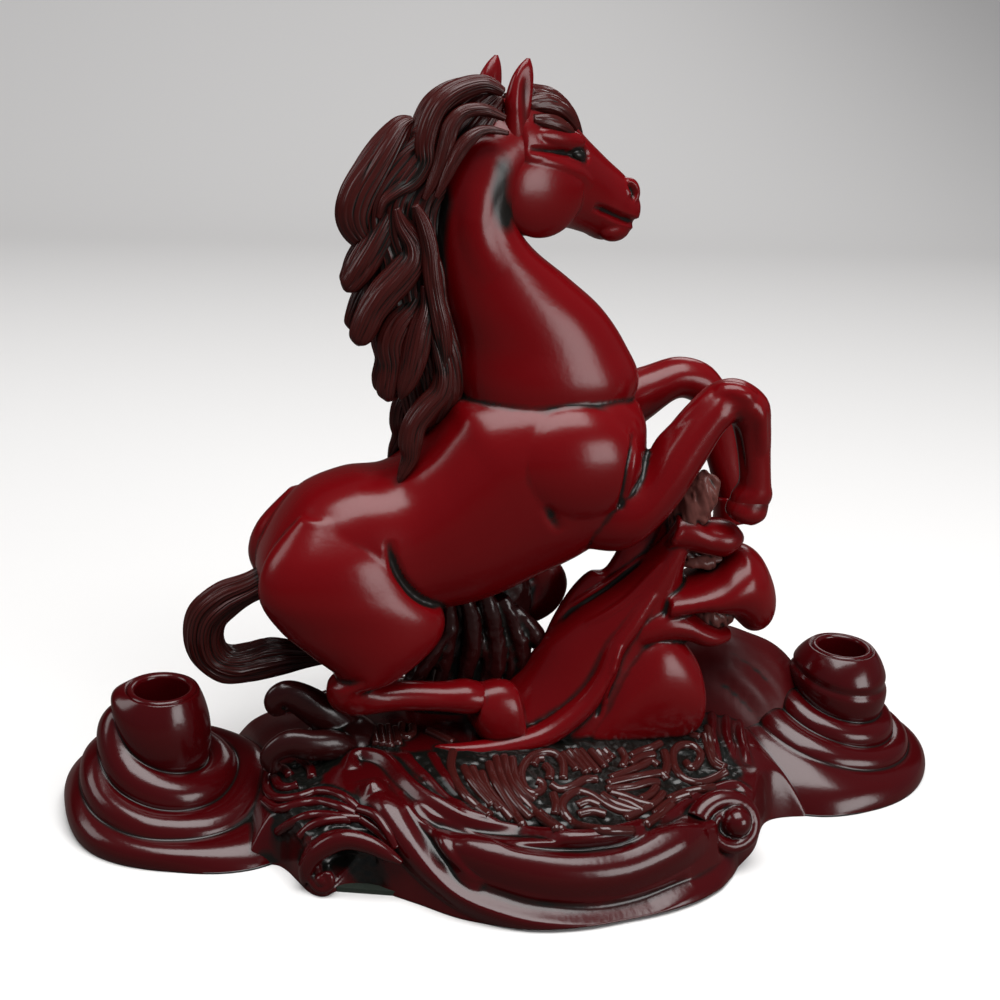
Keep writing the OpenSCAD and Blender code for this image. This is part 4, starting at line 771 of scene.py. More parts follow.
def normals_of(V, F):
    n = np.cross(V[F[:, 2]] - V[F[:, 0]], V[F[:, 3]] - V[F[:, 1]])
    tri = F[:, 2] == F[:, 3]
    n[tri] = np.cross(V[F[tri, 1]] - V[F[tri, 0]], V[F[tri, 2]] - V[F[tri, 0]])
    out = np.zeros_like(V)
    for k in range(4):
        for a in range(3):
            out[:, a] += np.bincount(F[:, k], n[:, a], minlength=len(V))
    return unit(out)


def off_path(P, path):
    """Distance of each point from a path, and how far along the path, from 0 to 1."""
    best = np.full(len(P), np.inf)
    where = np.zeros(len(P))
    run = np.r_[0, np.cumsum(np.linalg.norm(np.diff(path, axis=0), axis=1))]
    for k in range(len(path) - 1):
        a, d = path[k], path[k + 1] - path[k]
        t = np.clip((P - a) @ d/max(d @ d, 1e-9), 0, 1)
        dist = np.linalg.norm(P - a - t[:, None]*d, axis=1)
        near = dist < best
        best[near] = dist[near]
        where[near] = ((run[k] + t*(run[k + 1] - run[k]))/run[-1])[near]
    return best, where


def stroke_push(V, strokes):
    """Height of ridges and grooves over a skin: path, half width, height, share of the path that tapers."""
    push = np.zeros(len(V))
    for path, half, height, taper in strokes:
        p = between(path, 5)
        lo, hi = p.min(0) - half, p.max(0) + half
        pick = np.flatnonzero(((V > lo) & (V < hi)).all(1))
        if not len(pick):
            continue
        d, s = off_path(V[pick], p)
        shape = np.clip(1 - (d/half)**2, 0, 1)**1.5
        fade = np.clip(np.minimum(s, 1 - s)/taper, 0, 1)**0.7
        push[pick] += height*shape*fade
    return push


def tooled(V, F, strokes):
    """Skin with ridges and grooves worked into it."""
    return V + normals_of(V, F)*stroke_push(V, strokes)[:, None]


def traced(tree, strokes):
    """Strokes given in pixels, laid on a skin."""
    laid = [(on_skin(tree, path), *rest) for path, *rest in strokes]
    return [stroke for stroke in laid if len(stroke[0]) > 1]


def wire(tree, *wires):
    """Links of a node tree, each from a node and its output to a node and its input."""
    for source, out, target, into in wires:
        tree.links.new(source.outputs[out], target.inputs[into])


def node(tree, kind, sockets=None, **values):
    """New node of a tree, with what its sockets and its settings hold."""
    made = tree.nodes.new(kind)
    for key, value in values.items():
        setattr(made, key, value)
    for key, value in (sockets or {}).items():
        made.inputs[key].default_value = value
    return made


def ridge_sweep():
    """Geometry Nodes tree that sweeps a round bead along every path of a wire, as thick as its points say."""
    tree = bpy.data.node_groups.new("ridge_sweep", "GeometryNodeTree")
    face = tree.interface
    face.new_socket("Geometry", in_out="INPUT", socket_type="NodeSocketGeometry")
    sides = face.new_socket("Bead sides", in_out="INPUT", socket_type="NodeSocketInt")
    sides.default_value = BEAD_INPUTS["Bead sides"]
    girth = face.new_socket("Girth factor", in_out="INPUT", socket_type="NodeSocketFloat")
    girth.default_value = BEAD_INPUTS["Girth factor"]
    face.new_socket("Finish", in_out="INPUT", socket_type="NodeSocketMaterial")
    face.new_socket("Geometry", in_out="OUTPUT", socket_type="NodeSocketGeometry")
    given = node(tree, "NodeGroupInput")
    result = node(tree, "NodeGroupOutput")
    curve = node(tree, "GeometryNodeMeshToCurve")
    radius = node(tree, "GeometryNodeSetCurveRadius")
    named = node(tree, "GeometryNodeInputNamedAttribute", {"Name": "girth"})
    times = node(tree, "ShaderNodeMath", operation="MULTIPLY")
    ring = node(tree, "GeometryNodeCurvePrimitiveCircle", {"Radius": 1.0})
    sweep = node(tree, "GeometryNodeCurveToMesh", {"Fill Caps": True})
    cut = node(tree, "GeometryNodeTriangulate")
    real = node(tree, "GeometryNodeRealizeInstances")
    paint = node(tree, "GeometryNodeSetMaterial")
    wire(tree, (given, "Geometry", curve, "Mesh"), (curve, "Curve", radius, "Curve"),
         (named, "Attribute", times, 0), (given, "Girth factor", times, 1), (times, 0, radius, "Radius"),
         (given, "Bead sides", ring, "Resolution"), (radius, "Curve", sweep, "Curve"),
         (ring, "Curve", sweep, "Profile Curve"), (sweep, "Mesh", cut, "Mesh"),
         (cut, "Mesh", real, "Geometry"), (real, "Geometry", paint, "Geometry"),
         (given, "Finish", paint, "Material"), (paint, "Geometry", result, "Geometry"))
    return tree


RIDGE_SWEEP = ridge_sweep()


def beads(paths):
    """Round beads along paths of x, y, z, radius, swept by the tree."""
    V = np.concatenate(paths)
    starts = set(np.cumsum([len(p) for p in paths]).tolist())
    edges = [(i - 1, i) for i in range(1, len(V)) if i not in starts]
    me = bpy.data.meshes.new("wire")
    me.from_pydata(V[:, :3].tolist(), edges, [])
    me.attributes.new("girth", "FLOAT", "POINT").data.foreach_set("value", V[:, 3].astype(np.float32))
    ob = placed("wire", me)
    mod = ob.modifiers.new("sweep", "NODES")
    mod.node_group = RIDGE_SWEEP
    for item in RIDGE_SWEEP.interface.items_tree:
        if item.name in BEAD_INPUTS:
            mod[item.identifier] = BEAD_INPUTS[item.name]
    return taken(ob)


def tapered(path, girth, taper=0.2, steps=6):
    """Path with its girth, fine at both ends."""
    p = between(path, steps)
    s = np.linspace(0, 1, len(p))
    r = girth*np.clip(np.minimum(s, 1 - s)/taper, 0.08, 1)**0.6
    return np.c_[p, r]


def lattice(P, seed):
    """Smooth random field, one value for each point, from -1 to 1; the large numbers only mix the bits."""
    i = np.floor(P).astype(np.int64)
    t = P - i
    t = t*t*(3 - 2*t)
    out = np.zeros(len(P))
    for corner in np.ndindex(2, 2, 2):
        x, y, z = ((i + corner)*np.array([73856093, 19349663, 83492791])).T
        h = x ^ y ^ z ^ seed*2654435761
        h = (h ^ (h >> 13))*1274126177 & 0x7fffffff
        w = np.where(corner, t, 1 - t)
        out += w[:, 0]*w[:, 1]*w[:, 2]*((h % 20011)/10005.0 - 1)
    return out


def roughened(V, F, size, height, seed):
    """Skin with a chiselled, stony surface."""
    N = normals_of(V, F)
    push = lattice(V/size, seed) + 0.5*lattice(V/size*2.1, seed + 1) + 0.25*lattice(V/size*4.3, seed + 2)
    return V + N*(height*push)[:, None]


pieces = {}


def keep(name, made, slot, finish, stain_and_shade=0.0, nodes=None):
    """Piece for the scene; it replaces the node of its own name, or the nodes given."""
    pieces[name] = dict(V=made[0], F=made[1], nodes=nodes or [name], slot=slot, finish=finish, stain_and_shade=stain_and_shade)


def turned_head(V):
    """Place of what turns with the head."""
    cos, sin = math.cos(math.radians(HEAD_TURN)), math.sin(math.radians(HEAD_TURN))
    x, y = V[:, 0] - HEAD_PIVOT_X, V[:, 1]
    return np.c_[HEAD_PIVOT_X + x*cos - y*sin, HEAD_Y + x*sin + y*cos, V[:, 2]]


# horse
def make_body():
    parts = [loft(TRUNK, full=0.85, sides=64), loft(NECK, full=0.95, sides=64)]
    (x, y, z), radii = SHOULDER
    for s in SIDES:
        parts.append(blob((x, s*y, z), radii))
        parts.append(loft(HIND_LEG if s < 0 else other_side(HIND_LEG, 5, 0), y=s*HIND_Y, sides=48))
    parts.append(loft(NEAR_FORELEG, y=-FORELEG_Y, sides=40))
    parts.append(loft(FAR_FORELEG, y=FORELEG_Y, sides=40))
    V, F = pressed(parts, HORSE_GRAIN, rubs=6)
    V = blended(V, F, HIP, reach=26, rubs=40)
    V = tooled(V, F, traced(tree_of((V, F)), BODY_CARVING))
    # painted shade on the neck behind the jaw and under the mane
    stain_and_shade = stroke_push(V, traced(tree_of((V, F)), BODY_PAINTED_SHADE))
    keep("horse_body", (V, F), "red_lacquer", "red", stain_and_shade,
         ["horse_trunk", "horse_neck", "near_foreleg", "far_foreleg", "near_hind_leg", "far_hind_leg"])


def make_head():
    V, F = pressed([loft(HEAD, full=0.9, sides=64)] + on_both_sides(HEAD_LUMPS), HEAD_GRAIN, rubs=6)
    x, y, z = CHEEK
    for s in SIDES:
        V = blended(V, F, (x, s*y, z), reach=9, rubs=30)
    V = tooled(V, F, sided(HEAD_CARVING))
    V, F = joined([(V, F)] + on_both_sides(EYEBALLS))
    # painted shade round the eye
    keep("horse_head", (turned_head(V), F), "red_lacquer", "red", stroke_push(V, sided(HEAD_PAINTED_SHADE)))


def make_ears():
    for name, x, y in EARS:
        V, F = loft(EAR, sides=60, steps=10)
        off = ((V[:, [0, 2]] - EAR_DENT_AT)/EAR_DENT_SIZE)**2
        dent = EAR_DENT*np.exp(-off.sum(1))*np.clip(np.sign(y)*V[:, 1]/EAR_FACE, 0, 1)
        V[:, 1] -= np.sign(y)*dent
        # painted shade in the hollow of the ear
        keep(name, (turned_head(V + np.array([x, y, EAR_Z])), F), "red_lacquer", "red", EAR_PAINTED_SHADE*dent)


def make_hooves():
    for name, rows, y, rubs in HOOVES:
        keep(name, pressed([loft(rows, y=y, full=0.95, sides=40)], HOOF_GRAIN, rubs), "washed_lacquer", "red")


def lock_cord(y, path, hair, twist):
    """Lock of the mane along a path of the photograph, a little flatter than wide where it is wide."""
    rows = seen_path(path, y)
    rows[:, 3] = 0.75*rows[:, 3] + 0.5
    return cord(rows, sides=150, steps=9, hair=hair, depth=0.26, twist=twist)


def make_hair():
    crest = loft(seen_rows(CREST_PX, 0), sides=280, steps=9, hair=41, depth=0.2, twist=5)
    keep("mane_crest", crest, "hair_lacquer", "hair")
    near = [lock_cord(y, path, 19 + 2*(i % 3), 1.5 + i % 2) for i, (y, path) in enumerate(LOCKS_PX)]
    for name, members in LOCK_GROUPS.items():
        parts = []
        for i in members:
            V, F = near[i]
            # the far locks are moved a little, so that the two sides differ
            shift = np.array([0.6, 0.4*(i % 2), -0.8 + 0.6*(i % 3)])
            parts += [(V, F), (V*np.array([1, -1, 1]) + shift, F[:, ::-1])]
        keep(name, joined(parts), "hair_lacquer", "hair")
    parts = [loft(FORELOCK_CORE, sides=120, steps=12, hair=17, depth=0.3, twist=2.4)]
    for rows in FORELOCK_STRANDS:
        for s in SIDES:
            path = np.array(rows, float)*np.array([1, s, 1, 1, 1])
            parts.append(cord(path, up=UPWARD, sides=80, steps=10, hair=12, depth=0.26, twist=2))
    V, F = joined(parts)
    keep("forelock", (turned_head(V), F), "hair_lacquer", "hair")
    tail = loft(TAIL, sides=260, steps=16, hair=33, depth=0.24, twist=2.6)
    keep("tail", tail, "hair_lacquer", "hair")


# wave
def make_wave():
    face = seen_rows(FACE_PX, FACE_Y)
    parts = [loft(WAVE, sides=56), loft(UPPER_CURL, sides=56), loft(LOWER_CURL, sides=44),
             loft(CREST_CURL, sides=40), cord(FOLD, sides=28), loft(face, sides=56),
             loft(seen_rows(SHEET_PX, SHEET_Y), sides=48), cord(other_side(FOLD, 1, WAVE_MID_Y), sides=28),
             loft(other_side(face, 5, WAVE_MID_Y), sides=56)]
    V, F = pressed(parts, FINE, rubs=8)
    near = traced(tree_of((V, F)), WAVE_CARVING)
    far = [(other_side(path, 1, WAVE_MID_Y), *rest) for path, *rest in near]
    keep("wave", (tooled(V, F, near + far), F), "red_lacquer", "red",
         nodes=["wave_support", "wave_curl_upper", "wave_curl_lower"])


def make_foam_cap():
    V, F = fused([loft(FOAM_CAP, sides=40)] + [blob(*lump) for lump in FOAM_LUMPS], FOAM_GRAIN)
    streak = np.c_[V[:, 0] + 0.5*V[:, 2], V[:, 1], 0.3*V[:, 2] - 0.15*V[:, 0]]
    V = V + normals_of(V, F)*(0.5*lattice(streak/1.5, 3) + 0.25*lattice(streak/0.7, 4))[:, None]
    keep("foam_cap", (V, F), "washed_lacquer", "foam")


def make_rock():
    parts = [loft(ROCK, full=0.9, sides=56)]
    for path in STRAND_PX:
        near = seen_path(path, STRAND_Y)
        for rows, twist in ((near, 0.6), (other_side(near, 1, ROCK_MID_Y), -0.6)):
            parts.append(cord(rows, sides=40, hair=8, depth=0.2, twist=twist))
    V, F = pressed(parts, FINE, rubs=3)
    # the rock under the belly is near black: its own dark lacquer with painted shade
    keep("rock_pillar", (roughened(V, F, size=3.2, height=0.25, seed=11), F), "washed_lacquer", "deep")
    curl = pressed([cord(FAR_ROLL, sides=32), blob(*FAR_ROLL_CORE)], CURL_GRAIN, rubs=6)
    keep("rear_wave_curl", curl, "red_lacquer", "red")


def make_swell():
    V, F = loft(SWELL, sides=80, steps=12, full=1.15)
    V[:, 2] = np.maximum(V[:, 2], SWELL_FOOT)
    V = tooled(V, F, traced(tree_of((V, F)), SWELL_CARVING))
    keep("right_swell", (V, F), "red_lacquer", "dull")


# base
def round_by_bearing(table, ang):
    """Creases given at equal bearings, on a smooth closed curve, with the mouth above them."""
    rows = np.array([[MOUTH] + table[k] for k in sorted(table)], float)
    n = len(rows)
    f = (np.degrees(ang) % 360)/360*n
    i = np.floor(f).astype(int) % n
    t = (f - np.floor(f))[:, None, None]
    return through(rows[i - 1], rows[i], rows[(i + 1) % n], rows[(i + 2) % n], t)


def pen_mound(x, tiers, roll, waist):
    """Mound of rolled tiers with the bore for the pen; its creases run down like those of a snail shell."""
    ang = np.linspace(0, 2*np.pi, MOUND_SIDES, endpoint=False)
    crease = round_by_bearing(tiers, ang)
    flat = np.zeros(MOUND_SIDES)
    inset, rise = BORE_CORNER
    rows = [(flat + FLOOR_GAP, flat + BORE_FLOOR), (flat + (BORE_R - inset), flat + BORE_FLOOR),
            (flat + BORE_R, flat + (BORE_FLOOR + rise))]
    rows += [(flat + BORE_R, flat + z) for z in BORE_RINGS]
    lip, lip_z = crease[:, 0].T
    for a in np.linspace(0, np.pi, LIP_STEPS):
        rows.append(((BORE_R + lip)/2 - (lip - BORE_R)/2*np.cos(a), lip_z - LIP_ROUND + LIP_ROUND*np.sin(a)))
    for k in range(4):
        a, b = crease[:, k], crease[:, k + 1]
        d = b - a
        out = np.c_[-d[:, 1], d[:, 0]]/np.linalg.norm(d, axis=1, keepdims=True)
        for t in np.linspace(0, 1, TIER_STEPS[k], endpoint=(k == 3))[0 if k else 1:]:
            lift = roll[k]*np.sin(np.pi*t)**TIER_BULGE
            if k == 0:
                lift = lift - waist*math.exp(-((t - WAIST_AT)/WAIST_SOFT)**2)
            rows.append((a + d*t + out*lift).T)
    foot = crease[:, 4, 0]
    rows += [(foot, flat + FOOT_EDGE), (foot - FOOT_INSET, flat + FLOOR_GAP),
             (flat + FLOOR_GAP, flat + FLOOR_GAP)]
    r, z = np.stack([np.stack(row) for row in rows], 1)
    V, F = skin(np.stack([x + r*np.cos(ang), r*np.sin(ang), np.maximum(z, FLOOR_GAP)], -1))
    beside = np.clip((np.hypot(V[:, 0] - x, V[:, 1]) - NECK_R)/RUB_FADE, 0, 1)
    above = np.clip((V[:, 2] - FOOT_KEPT)/RUB_FADE, 0, 1)
    return rubbed(V, F, MOUND_RUBS, beside*above), F


def make_mounds():
    for name, x, tiers, roll, waist in MOUNDS:
        keep(name, pen_mound(x, tiers, roll, waist), "red_lacquer", "base")


def bank_height(x, y):
    """Height of the bank before its front and back edges are rolled down."""
    fx = np.clip(np.interp(x, BANK_X, np.arange(len(BANK_X))), 0, len(BANK_X) - 1.001)
    fy = np.clip(np.interp(y, BANK_Y, np.arange(len(BANK_Y))), 0, len(BANK_Y) - 1.001)
    i, j = fx.astype(int), fy.astype(int)
    a, b = fx - i, fy - j
    a, b = a*a*(3 - 2*a), b*b*(3 - 2*b)
    z = BANK_Z
    return (z[j, i]*(1 - a) + z[j, i + 1]*a)*(1 - b) + (z[j + 1, i]*(1 - a) + z[j + 1, i + 1]*a)*b


def edge_at(chain, xs):
    """Smooth outline of the base at the given places along it."""
    fine = between(chain, 12)
    return np.minimum(np.interp(xs, np.maximum.accumulate(fine[:, 0]), fine[:, 1]), BACK_LIMIT)


def within(corners, V):
    """1 for the points that lie inside an outline seen from above, else 0."""
    odd = np.zeros(len(V), bool)
    for (x0, y0), (x1, y1) in zip(corners, corners[1:] + corners[:1]):
        crosses = (y0 > V[:, 1]) != (y1 > V[:, 1])
        at = x0 + (V[:, 1] - y0)*(x1 - x0)/(y1 - y0 if y1 != y0 else 1)
        odd ^= crosses & (V[:, 0] < at)
    return odd.astype(float)


def rolled(roll, inward):
    """Height of a rolled edge at a distance inward from it."""
    height, soft = roll
    return height*(1 - np.exp(-inward/soft))


def bank_skin():
    """Smooth bank over the whole base between the mounds."""
    columns, rows = BANK_GRID
    xs = np.linspace(-END_X, END_X, columns)
    grid = np.empty((columns, rows, 3))
    for c, front, back in zip(range(columns), edge_at(FRONT_EDGE, xs), edge_at(BACK_EDGE, xs)):
        y = np.linspace(front, back, BANK_SAMPLES)
        top = bank_height(np.full_like(y, xs[c]), y)
        heights = (rolled(FRONT_ROLL, y - front), rolled(BACK_ROLL, back - y), top,
                   rolled(END_ROLL, END_X - abs(xs[c])))
        z = -ROLL_BLEND*np.log(sum(np.exp(-h/ROLL_BLEND) for h in heights))
        z = np.maximum(z, FLOOR_GAP)
        run = np.r_[0, np.cumsum(np.hypot(np.diff(y), np.diff(z)))]
        at = np.linspace(0, run[-1], rows)
        grid[c] = np.c_[np.full(rows, xs[c]), np.interp(at, run, y), np.interp(at, run, z)]
    floor = grid.copy()
    floor[:, :, 2] = FLOOR_GAP
    floor = floor[:, ::FLOOR_EVERY][:, ::-1]
    return skin(np.concatenate([grid, floor[:, 1:-1]], axis=1))


def make_bank():
    V, F = bank_skin()
    mounds = [(pieces[name]["V"], pieces[name]["F"]) for name, *_ in MOUNDS]
    N = normals_of(V, F)
    push = stroke_push(V, traced(tree_of((V, F), *mounds), BANK_CARVING))
    ground = np.max([within(corners, V) for corners in (FOAM_GROUND, LEAF_GROUND, CREVICE_GROUND)], axis=0)
    E = edges_of(F)
    for _ in range(GROUND_RUBS):
        ground = mean_of_neighbours(ground, E, len(V))
    ground = ground*np.clip(3*N[:, 2], 0, 1)*np.clip(1 - push/RIDGE_CLEAR, 0, 1)
    V = V + N*(push + GROUND_HEIGHT*ground*lattice(V/GROUND_GRAIN, 5))[:, None]
    V[:, 2] = np.maximum(V[:, 2], FLOOR_GAP)
    keep("carved_bank", (V, F), "red_lacquer", "base", ground, ["base_plinth", "foam_bank", "front_scroll"])
    tree = tree_of((V, F), *mounds)
    foam = [tapered(on_skin(tree, path), girth) for girth, path in FOAM_LINES]
    for path in BACK_LINES:
        hits = [tree.ray_cast(Vector((x, y, ABOVE_BANK)), Vector(DOWNWARD))[0] for x, y in path]
        foam.append(tapered([list(h) for h in hits], BACK_GIRTH))
    keep("foam_lines", beads(foam), "washed_lacquer", "rubbed",
         nodes=["foam_ripple_1", "foam_ripple_2", "foam_ripple_3"])
    veins = [tapered(on_skin(tree, path), girth) for girth, path in LEAF_VEINS]
    keep("leaf_veins", beads(veins), "red_lacquer", "base",
         nodes=["leaf_frond_1", "leaf_frond_2", "leaf_frond_3"])


def make_left_curls():
    parts = [cord(HIGH_CURL, sides=28), cord(LOW_CURL, sides=28), blob(*LEFT_CURL_FOOT)]
    keep("left_wave_curl", pressed(parts, CURL_GRAIN, rubs=6), "red_lacquer", "deep")


def make_volute():
    turn = np.radians(VOLUTE_TURN)[:, None]
    done = np.linspace(0, 1, len(turn))[:, None]
    shrink = 1 - VOLUTE_SHRINK*done**0.9
    p = (VOLUTE_AT + VOLUTE_WIDE*shrink*np.cos(turn)*VOLUTE_RIGHT + VOLUTE_TALL*shrink*np.sin(turn)*VOLUTE_UP
         + VOLUTE_RISE*done*VOLUTE_OUT)
    girth = VOLUTE_GIRTH*(1 - VOLUTE_THIN*done)
    parts = [cord(np.c_[p, girth, girth], up=VOLUTE_OUT, sides=28, steps=2)]
    for (right, up, out), radii in (VOLUTE_BALL, VOLUTE_MASS):
        parts.append(blob(VOLUTE_AT + right*VOLUTE_RIGHT + up*VOLUTE_UP + out*VOLUTE_OUT, radii))
    keep("front_volute", pressed(parts, VOLUTE_GRAIN, rubs=5), "red_lacquer", "base")
    parts = [cord(LEAF_LIP, up=UPWARD, sides=24), cord(LEAF_CURL, sides=20), blob(*LEAF_CURL_CORE)]
    keep("leaf_hook", pressed(parts, LEAF_GRAIN, rubs=4), "red_lacquer", "base")


make_body()
make_head()
make_ears()
make_hooves()
make_hair()
make_wave()
make_foam_cap()
make_rock()
make_swell()
make_mounds()
make_bank()
make_left_curls()
make_volute()


# dark wash and painted shade in the hollows, and painted shade where pieces meet
def hollows(V, F):
    """How hollow the skin is at each point, over fine, middle and broad reach; below 0 where it is raised."""
    E = edges_of(F)
    N = normals_of(V, F)
    X = V.copy()
    out = np.zeros(len(V))
    done = 0
    for rubs, gain in HOLLOW_GAINS:
        while done < rubs:
            X = X + HOLLOW_PULL*(mean_of_neighbours(X, E, len(V)) - X)
            done += 1
        out += gain*np.einsum("ij,ij->i", X - V, N)
    return out


def nearest_gap(name, trees):
    """Distance of each point of a piece from the nearest other piece, where that is small."""
    V = pieces[name]["V"]
    gap = np.full(len(V), np.inf)
    for other, tree in trees.items():
        if other == name:
            continue
        W = pieces[other]["V"]
        near = ((V > W.min(0) - MEET_LOOK) & (V < W.max(0) + MEET_LOOK)).all(1)
        for i in np.flatnonzero(near):
            hit = tree.find_nearest(V[i], MEET_LOOK)
            if hit[0] is not None:
                gap[i] = min(gap[i], hit[3])
    return gap


def soak_and_shade():
    """Give every piece its darkening: the lacquer's dark wash and painted shade in the hollows, the dark
    ground wash and the painted shade of the stain tables, and painted shade where it meets other pieces.
    """
    trees = {name: tree_of((p["V"], p["F"])) for name, p in pieces.items()}
    for name, p in pieces.items():
        stain_and_shade = np.clip(p["stain_and_shade"], 0, 1)
        # dark wash and painted shade from the hollows, with the stains laid over it (dark ground wash on the
        # bank, painted shade elsewhere)
        p["wash_and_shade"] = np.clip(hollows(p["V"], p["F"]), -1, 1)*(1 - stain_and_shade) + STAIN_AND_SHADE_DEPTH*stain_and_shade
        # painted shade where the piece meets another piece
        strength = MEET_SHADE_STRENGTH.get(name, MEET_SHADE_HAIR if p["finish"] == "hair" else MEET_SHADE_OTHERS)
        p["meet_shade"] = strength*np.clip(1 - nearest_gap(name, trees)/MEET_SHADE_FADE, 0, 1)


soak_and_shade()


# finishes
def material(name):
    """New material, its node tree and its shader."""
    mat = bpy.data.materials.new(name)
    mat.use_nodes = True
    return mat, mat.node_tree, mat.node_tree.nodes["Principled BSDF"]


def two_tone(tree, first, second, start=0.0, end=1.0):
    """Ramp from one colour to another."""
    ramp = node(tree, "ShaderNodeValToRGB")
    for stop, place, colour in zip(ramp.color_ramp.elements, (start, end), (first, second)):
        stop.position = place
        stop.color = (*colour, 1)
    return ramp


def lacquer(name, lit, dark, wash_and_shade_gain, rough, shine):
    """Lacquer over carving, darkened by its dark wash and by painted shade in the hollows and where pieces
    meet, with a slightly broken edge to it.
    """
    mat, tree, bsdf = material(name)
    where = node(tree, "ShaderNodeTexCoord")
    wash_and_shade = node(tree, "ShaderNodeAttribute", attribute_name="wash_and_shade")
    meet_shade = node(tree, "ShaderNodeAttribute", attribute_name="meet_shade")
    mottle = node(tree, "ShaderNodeTexNoise", {"Scale": 140, "Detail": 6})
    both = node(tree, "ShaderNodeMath", {1: wash_and_shade_gain}, operation="MULTIPLY_ADD")
    broken = node(tree, "ShaderNodeMath", {1: 0.5, 2: -0.25}, operation="MULTIPLY_ADD")
    spread = node(tree, "ShaderNodeMath", operation="ADD", use_clamp=True)
    ramp = two_tone(tree, lit, dark, 0.12, 0.75)
    gloss = node(tree, "ShaderNodeMapRange", {"To Min": rough, "To Max": rough + 0.08})
    skin_noise = node(tree, "ShaderNodeTexNoise", {"Scale": 900, "Detail": 3})
    bump = node(tree, "ShaderNodeBump", {"Strength": 0.08, "Distance": 0.0003})
    # the ramp goes dark with the wash and painted shade of the hollows and with the painted shade where
    # pieces meet
    wire(tree, (where, "Object", mottle, "Vector"), (wash_and_shade, "Fac", both, 0), (meet_shade, "Fac", both, 2),
         (mottle, "Fac", broken, 0), (both, 0, spread, 0), (broken, 0, spread, 1), (spread, 0, ramp, "Fac"),
         (ramp, "Color", bsdf, "Base Color"), (spread, 0, gloss, "Value"),
         (gloss, "Result", bsdf, "Roughness"), (where, "Object", skin_noise, "Vector"),
         (skin_noise, "Fac", bump, "Height"), (bump, "Normal", bsdf, "Normal"))
    bsdf.inputs["Specular IOR Level"].default_value = shine
    return mat


FINISH = {
    "red": lacquer("red_lacquer", (0.13, 0.001, 0.0025), (0.006, 0.005, 0.004), 0.9, 0.22, 0.32),
    "base": lacquer("base_lacquer", (0.044, 0.0008, 0.0016), (0.004, 0.0042, 0.0034), 0.8, 0.18, 0.42),
    "dull": lacquer("dull_lacquer", (0.05, 0.0012, 0.002), (0.004, 0.0042, 0.0034), 0.8, 0.42, 0.22),
    # near-black lacquer; on the rock under the belly it also holds painted shade
    "deep": lacquer("deep_lacquer", (0.022, 0.0028, 0.0028), (0.004, 0.005, 0.004), 1.4, 0.22, 0.38),
    "foam": lacquer("foam_lacquer", (0.15, 0.05, 0.042), (0.02, 0.012, 0.01), 1.2, 0.3, 0.3),
    "rubbed": lacquer("rubbed_lacquer", (0.042, 0.007, 0.006), (0.008, 0.007, 0.005), 0.6, 0.15, 0.5),
    "hair": lacquer("hair_lacquer", (0.045, 0.006, 0.005), (0.003, 0.0034, 0.0024), 2.6, 0.26, 0.32)}


def pad_finish(name, colour, other, scale, rough):
    """Dull finish with a grain of two colours."""
    mat, tree, bsdf = material(name)
    where = node(tree, "ShaderNodeTexCoord")
    grain = node(tree, "ShaderNodeTexNoise", {"Scale": scale})
    ramp = two_tone(tree, colour, other)
    wire(tree, (where, "Object", grain, "Vector"), (grain, "Fac", ramp, "Fac"),
         (ramp, "Color", bsdf, "Base Color"))
    bsdf.inputs["Roughness"].default_value = rough
    return mat


def finished_piece(name, p):
    me = bpy.data.meshes.new(name)
    me.from_pydata(((p["V"] + FIGURE_SHIFT)*MM).tolist(), [], faces_of(p["F"]))
    me.polygons.foreach_set("use_smooth", [True]*len(me.polygons))
    # attributes of the dark wash with painted shade, and of the painted shade where pieces meet
    for key in ("wash_and_shade", "meet_shade"):
        me.attributes.new(key, "FLOAT", "POINT").data.foreach_set("value", p[key].astype(np.float32))
    me.materials.append(FINISH[p["finish"]])
    ob = placed(name, me)
    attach(ob, "root")
    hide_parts(*p["nodes"])


for name, p in pieces.items():
    finished_piece(name + "_skin", p)

felt = pad_finish("green_felt", (0.008, 0.014, 0.009), (0.02, 0.03, 0.02), 2500, 0.95)
dowel = pad_finish("bare_dowel", (0.45, 0.27, 0.13), (0.52, 0.34, 0.18), 400, 0.6)
for name, mat in (("felt_pad", felt), ("wave_dowel", dowel)):
    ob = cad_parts[name]
    ob.data.materials.clear()
    ob.data.materials.append(mat)


# stage, light and camera; sizes in metres
FLOOR_HALF = 3.0
WALL_Y = 1.2
WALL_TOP = 1.6
SWEEP_R = 0.5
SWEEP_STEPS = 24
# place, aim, width, height, watts
LIGHTS = {
    "window": ((0.02, -0.24, 0.88), (0, 0, 0.07), 0.8, 0.66, 11.5),
    "front_window": ((0.62, -0.8, 0.24), (0, 0, 0.06), 0.5, 0.42, 4.0),
    "side_fill": ((-0.9, 0.1, 0.55), (0, 0, 0.07), 0.4, 0.5, 2.0),
    "back_fill": ((0.5, 0.9, 0.7), (0, 0, 0.07), 0.5, 0.4, 1.6)}


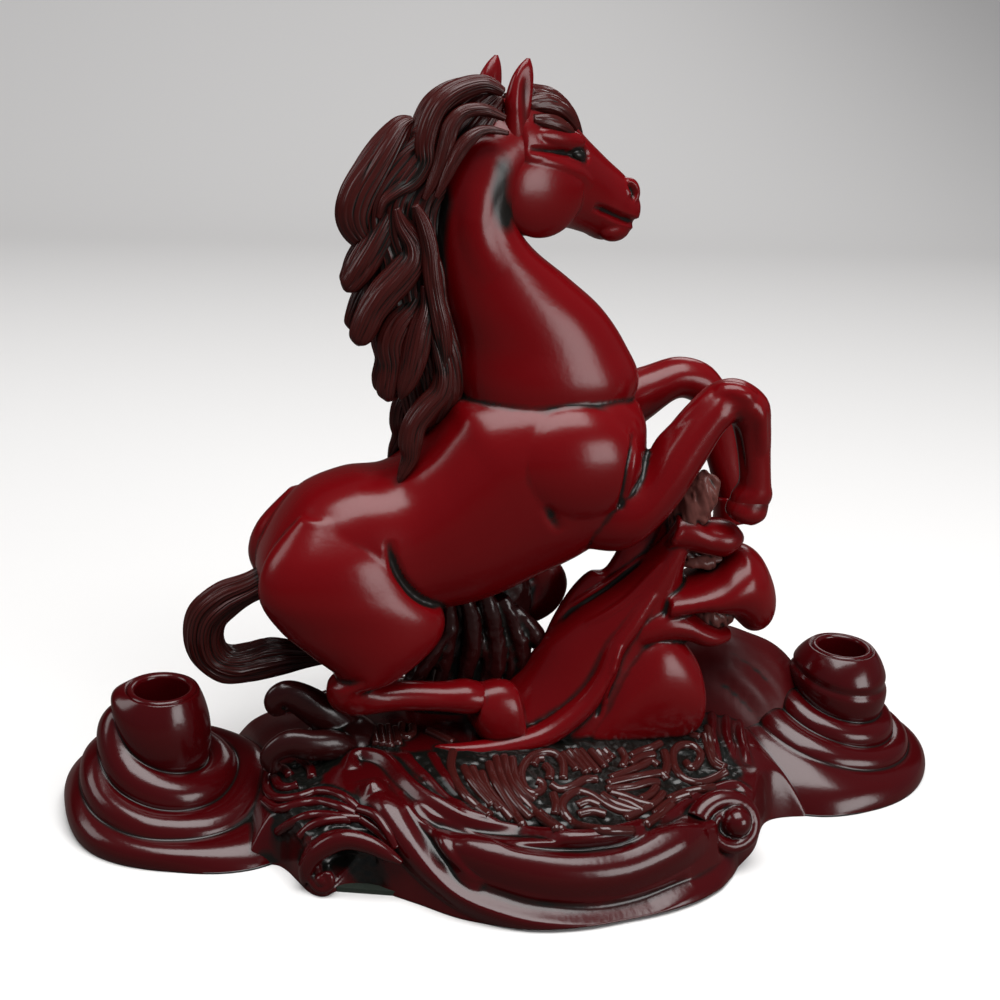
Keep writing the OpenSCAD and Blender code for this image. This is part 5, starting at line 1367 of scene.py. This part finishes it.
def make_stage():
    """Pale floor that sweeps up behind; the lacquer mirrors it darker than the camera sees it."""
    rows = [(-FLOOR_HALF, 0.0), (WALL_Y - SWEEP_R, 0.0)]
    for i in range(1, SWEEP_STEPS + 1):
        a = math.pi/2*i/SWEEP_STEPS
        rows.append((WALL_Y - SWEEP_R + SWEEP_R*math.sin(a), SWEEP_R - SWEEP_R*math.cos(a)))
    rows.append((WALL_Y, WALL_TOP))
    V = [(x, y, z) for y, z in rows for x in (-FLOOR_HALF, FLOOR_HALF)]
    F = [(2*i, 2*i + 1, 2*i + 3, 2*i + 2) for i in range(len(rows) - 1)]
    me = bpy.data.meshes.new("studio_floor")
    me.from_pydata(V, [], F)
    me.polygons.foreach_set("use_smooth", [True]*len(F))
    mat, tree, bsdf = material("pale_floor")
    bsdf.inputs["Roughness"].default_value = 0.9
    bsdf.inputs["Specular IOR Level"].default_value = 0.1
    path = node(tree, "ShaderNodeLightPath")
    shade = node(tree, "ShaderNodeMix", data_type="RGBA")
    shade.inputs[6].default_value = (0.12, 0.09, 0.085, 1)
    shade.inputs[7].default_value = (0.8, 0.79, 0.78, 1)
    wire(tree, (path, "Is Camera Ray", shade, 0), (shade, 2, bsdf, "Base Color"))
    me.materials.append(mat)
    ob = placed("studio_floor", me)


def softbox(name, place, aim, width, height, watts):
    data = bpy.data.lights.new(name, "AREA")
    data.shape = "RECTANGLE"
    data.size = width
    data.size_y = height
    data.energy = watts
    ob = placed(name, data)
    ob.location = place
    ob.rotation_euler = (Vector(aim) - Vector(place)).to_track_quat("-Z", "Y").to_euler()


def make_light_and_camera():
    scene = bpy.context.scene
    world = bpy.data.worlds.new("studio")
    world.use_nodes = True
    sky = world.node_tree.nodes["Background"]
    sky.inputs["Color"].default_value = (0.9, 0.93, 1.0, 1)
    sky.inputs["Strength"].default_value = 0.12
    scene.world = world
    for name, light in LIGHTS.items():
        softbox(name, *light)
    cam = bpy.data.cameras.new("photo_view")
    cam.sensor_width = 36
    cam.lens = cam.sensor_width*FOCAL_PX/(2*MIDDLE_PX)
    cam.clip_start = 0.01
    ob = placed("photo_view", cam)
    m = Matrix((Vector(EYE_RIGHT), -Vector(EYE_DOWN), -Vector(EYE_AHEAD))).transposed().to_4x4()
    m.translation = Vector(EYE + FIGURE_SHIFT)*MM
    ob.matrix_world = m
    scene.camera = ob
    scene.view_settings.view_transform = "Standard"


make_stage()
make_light_and_camera()
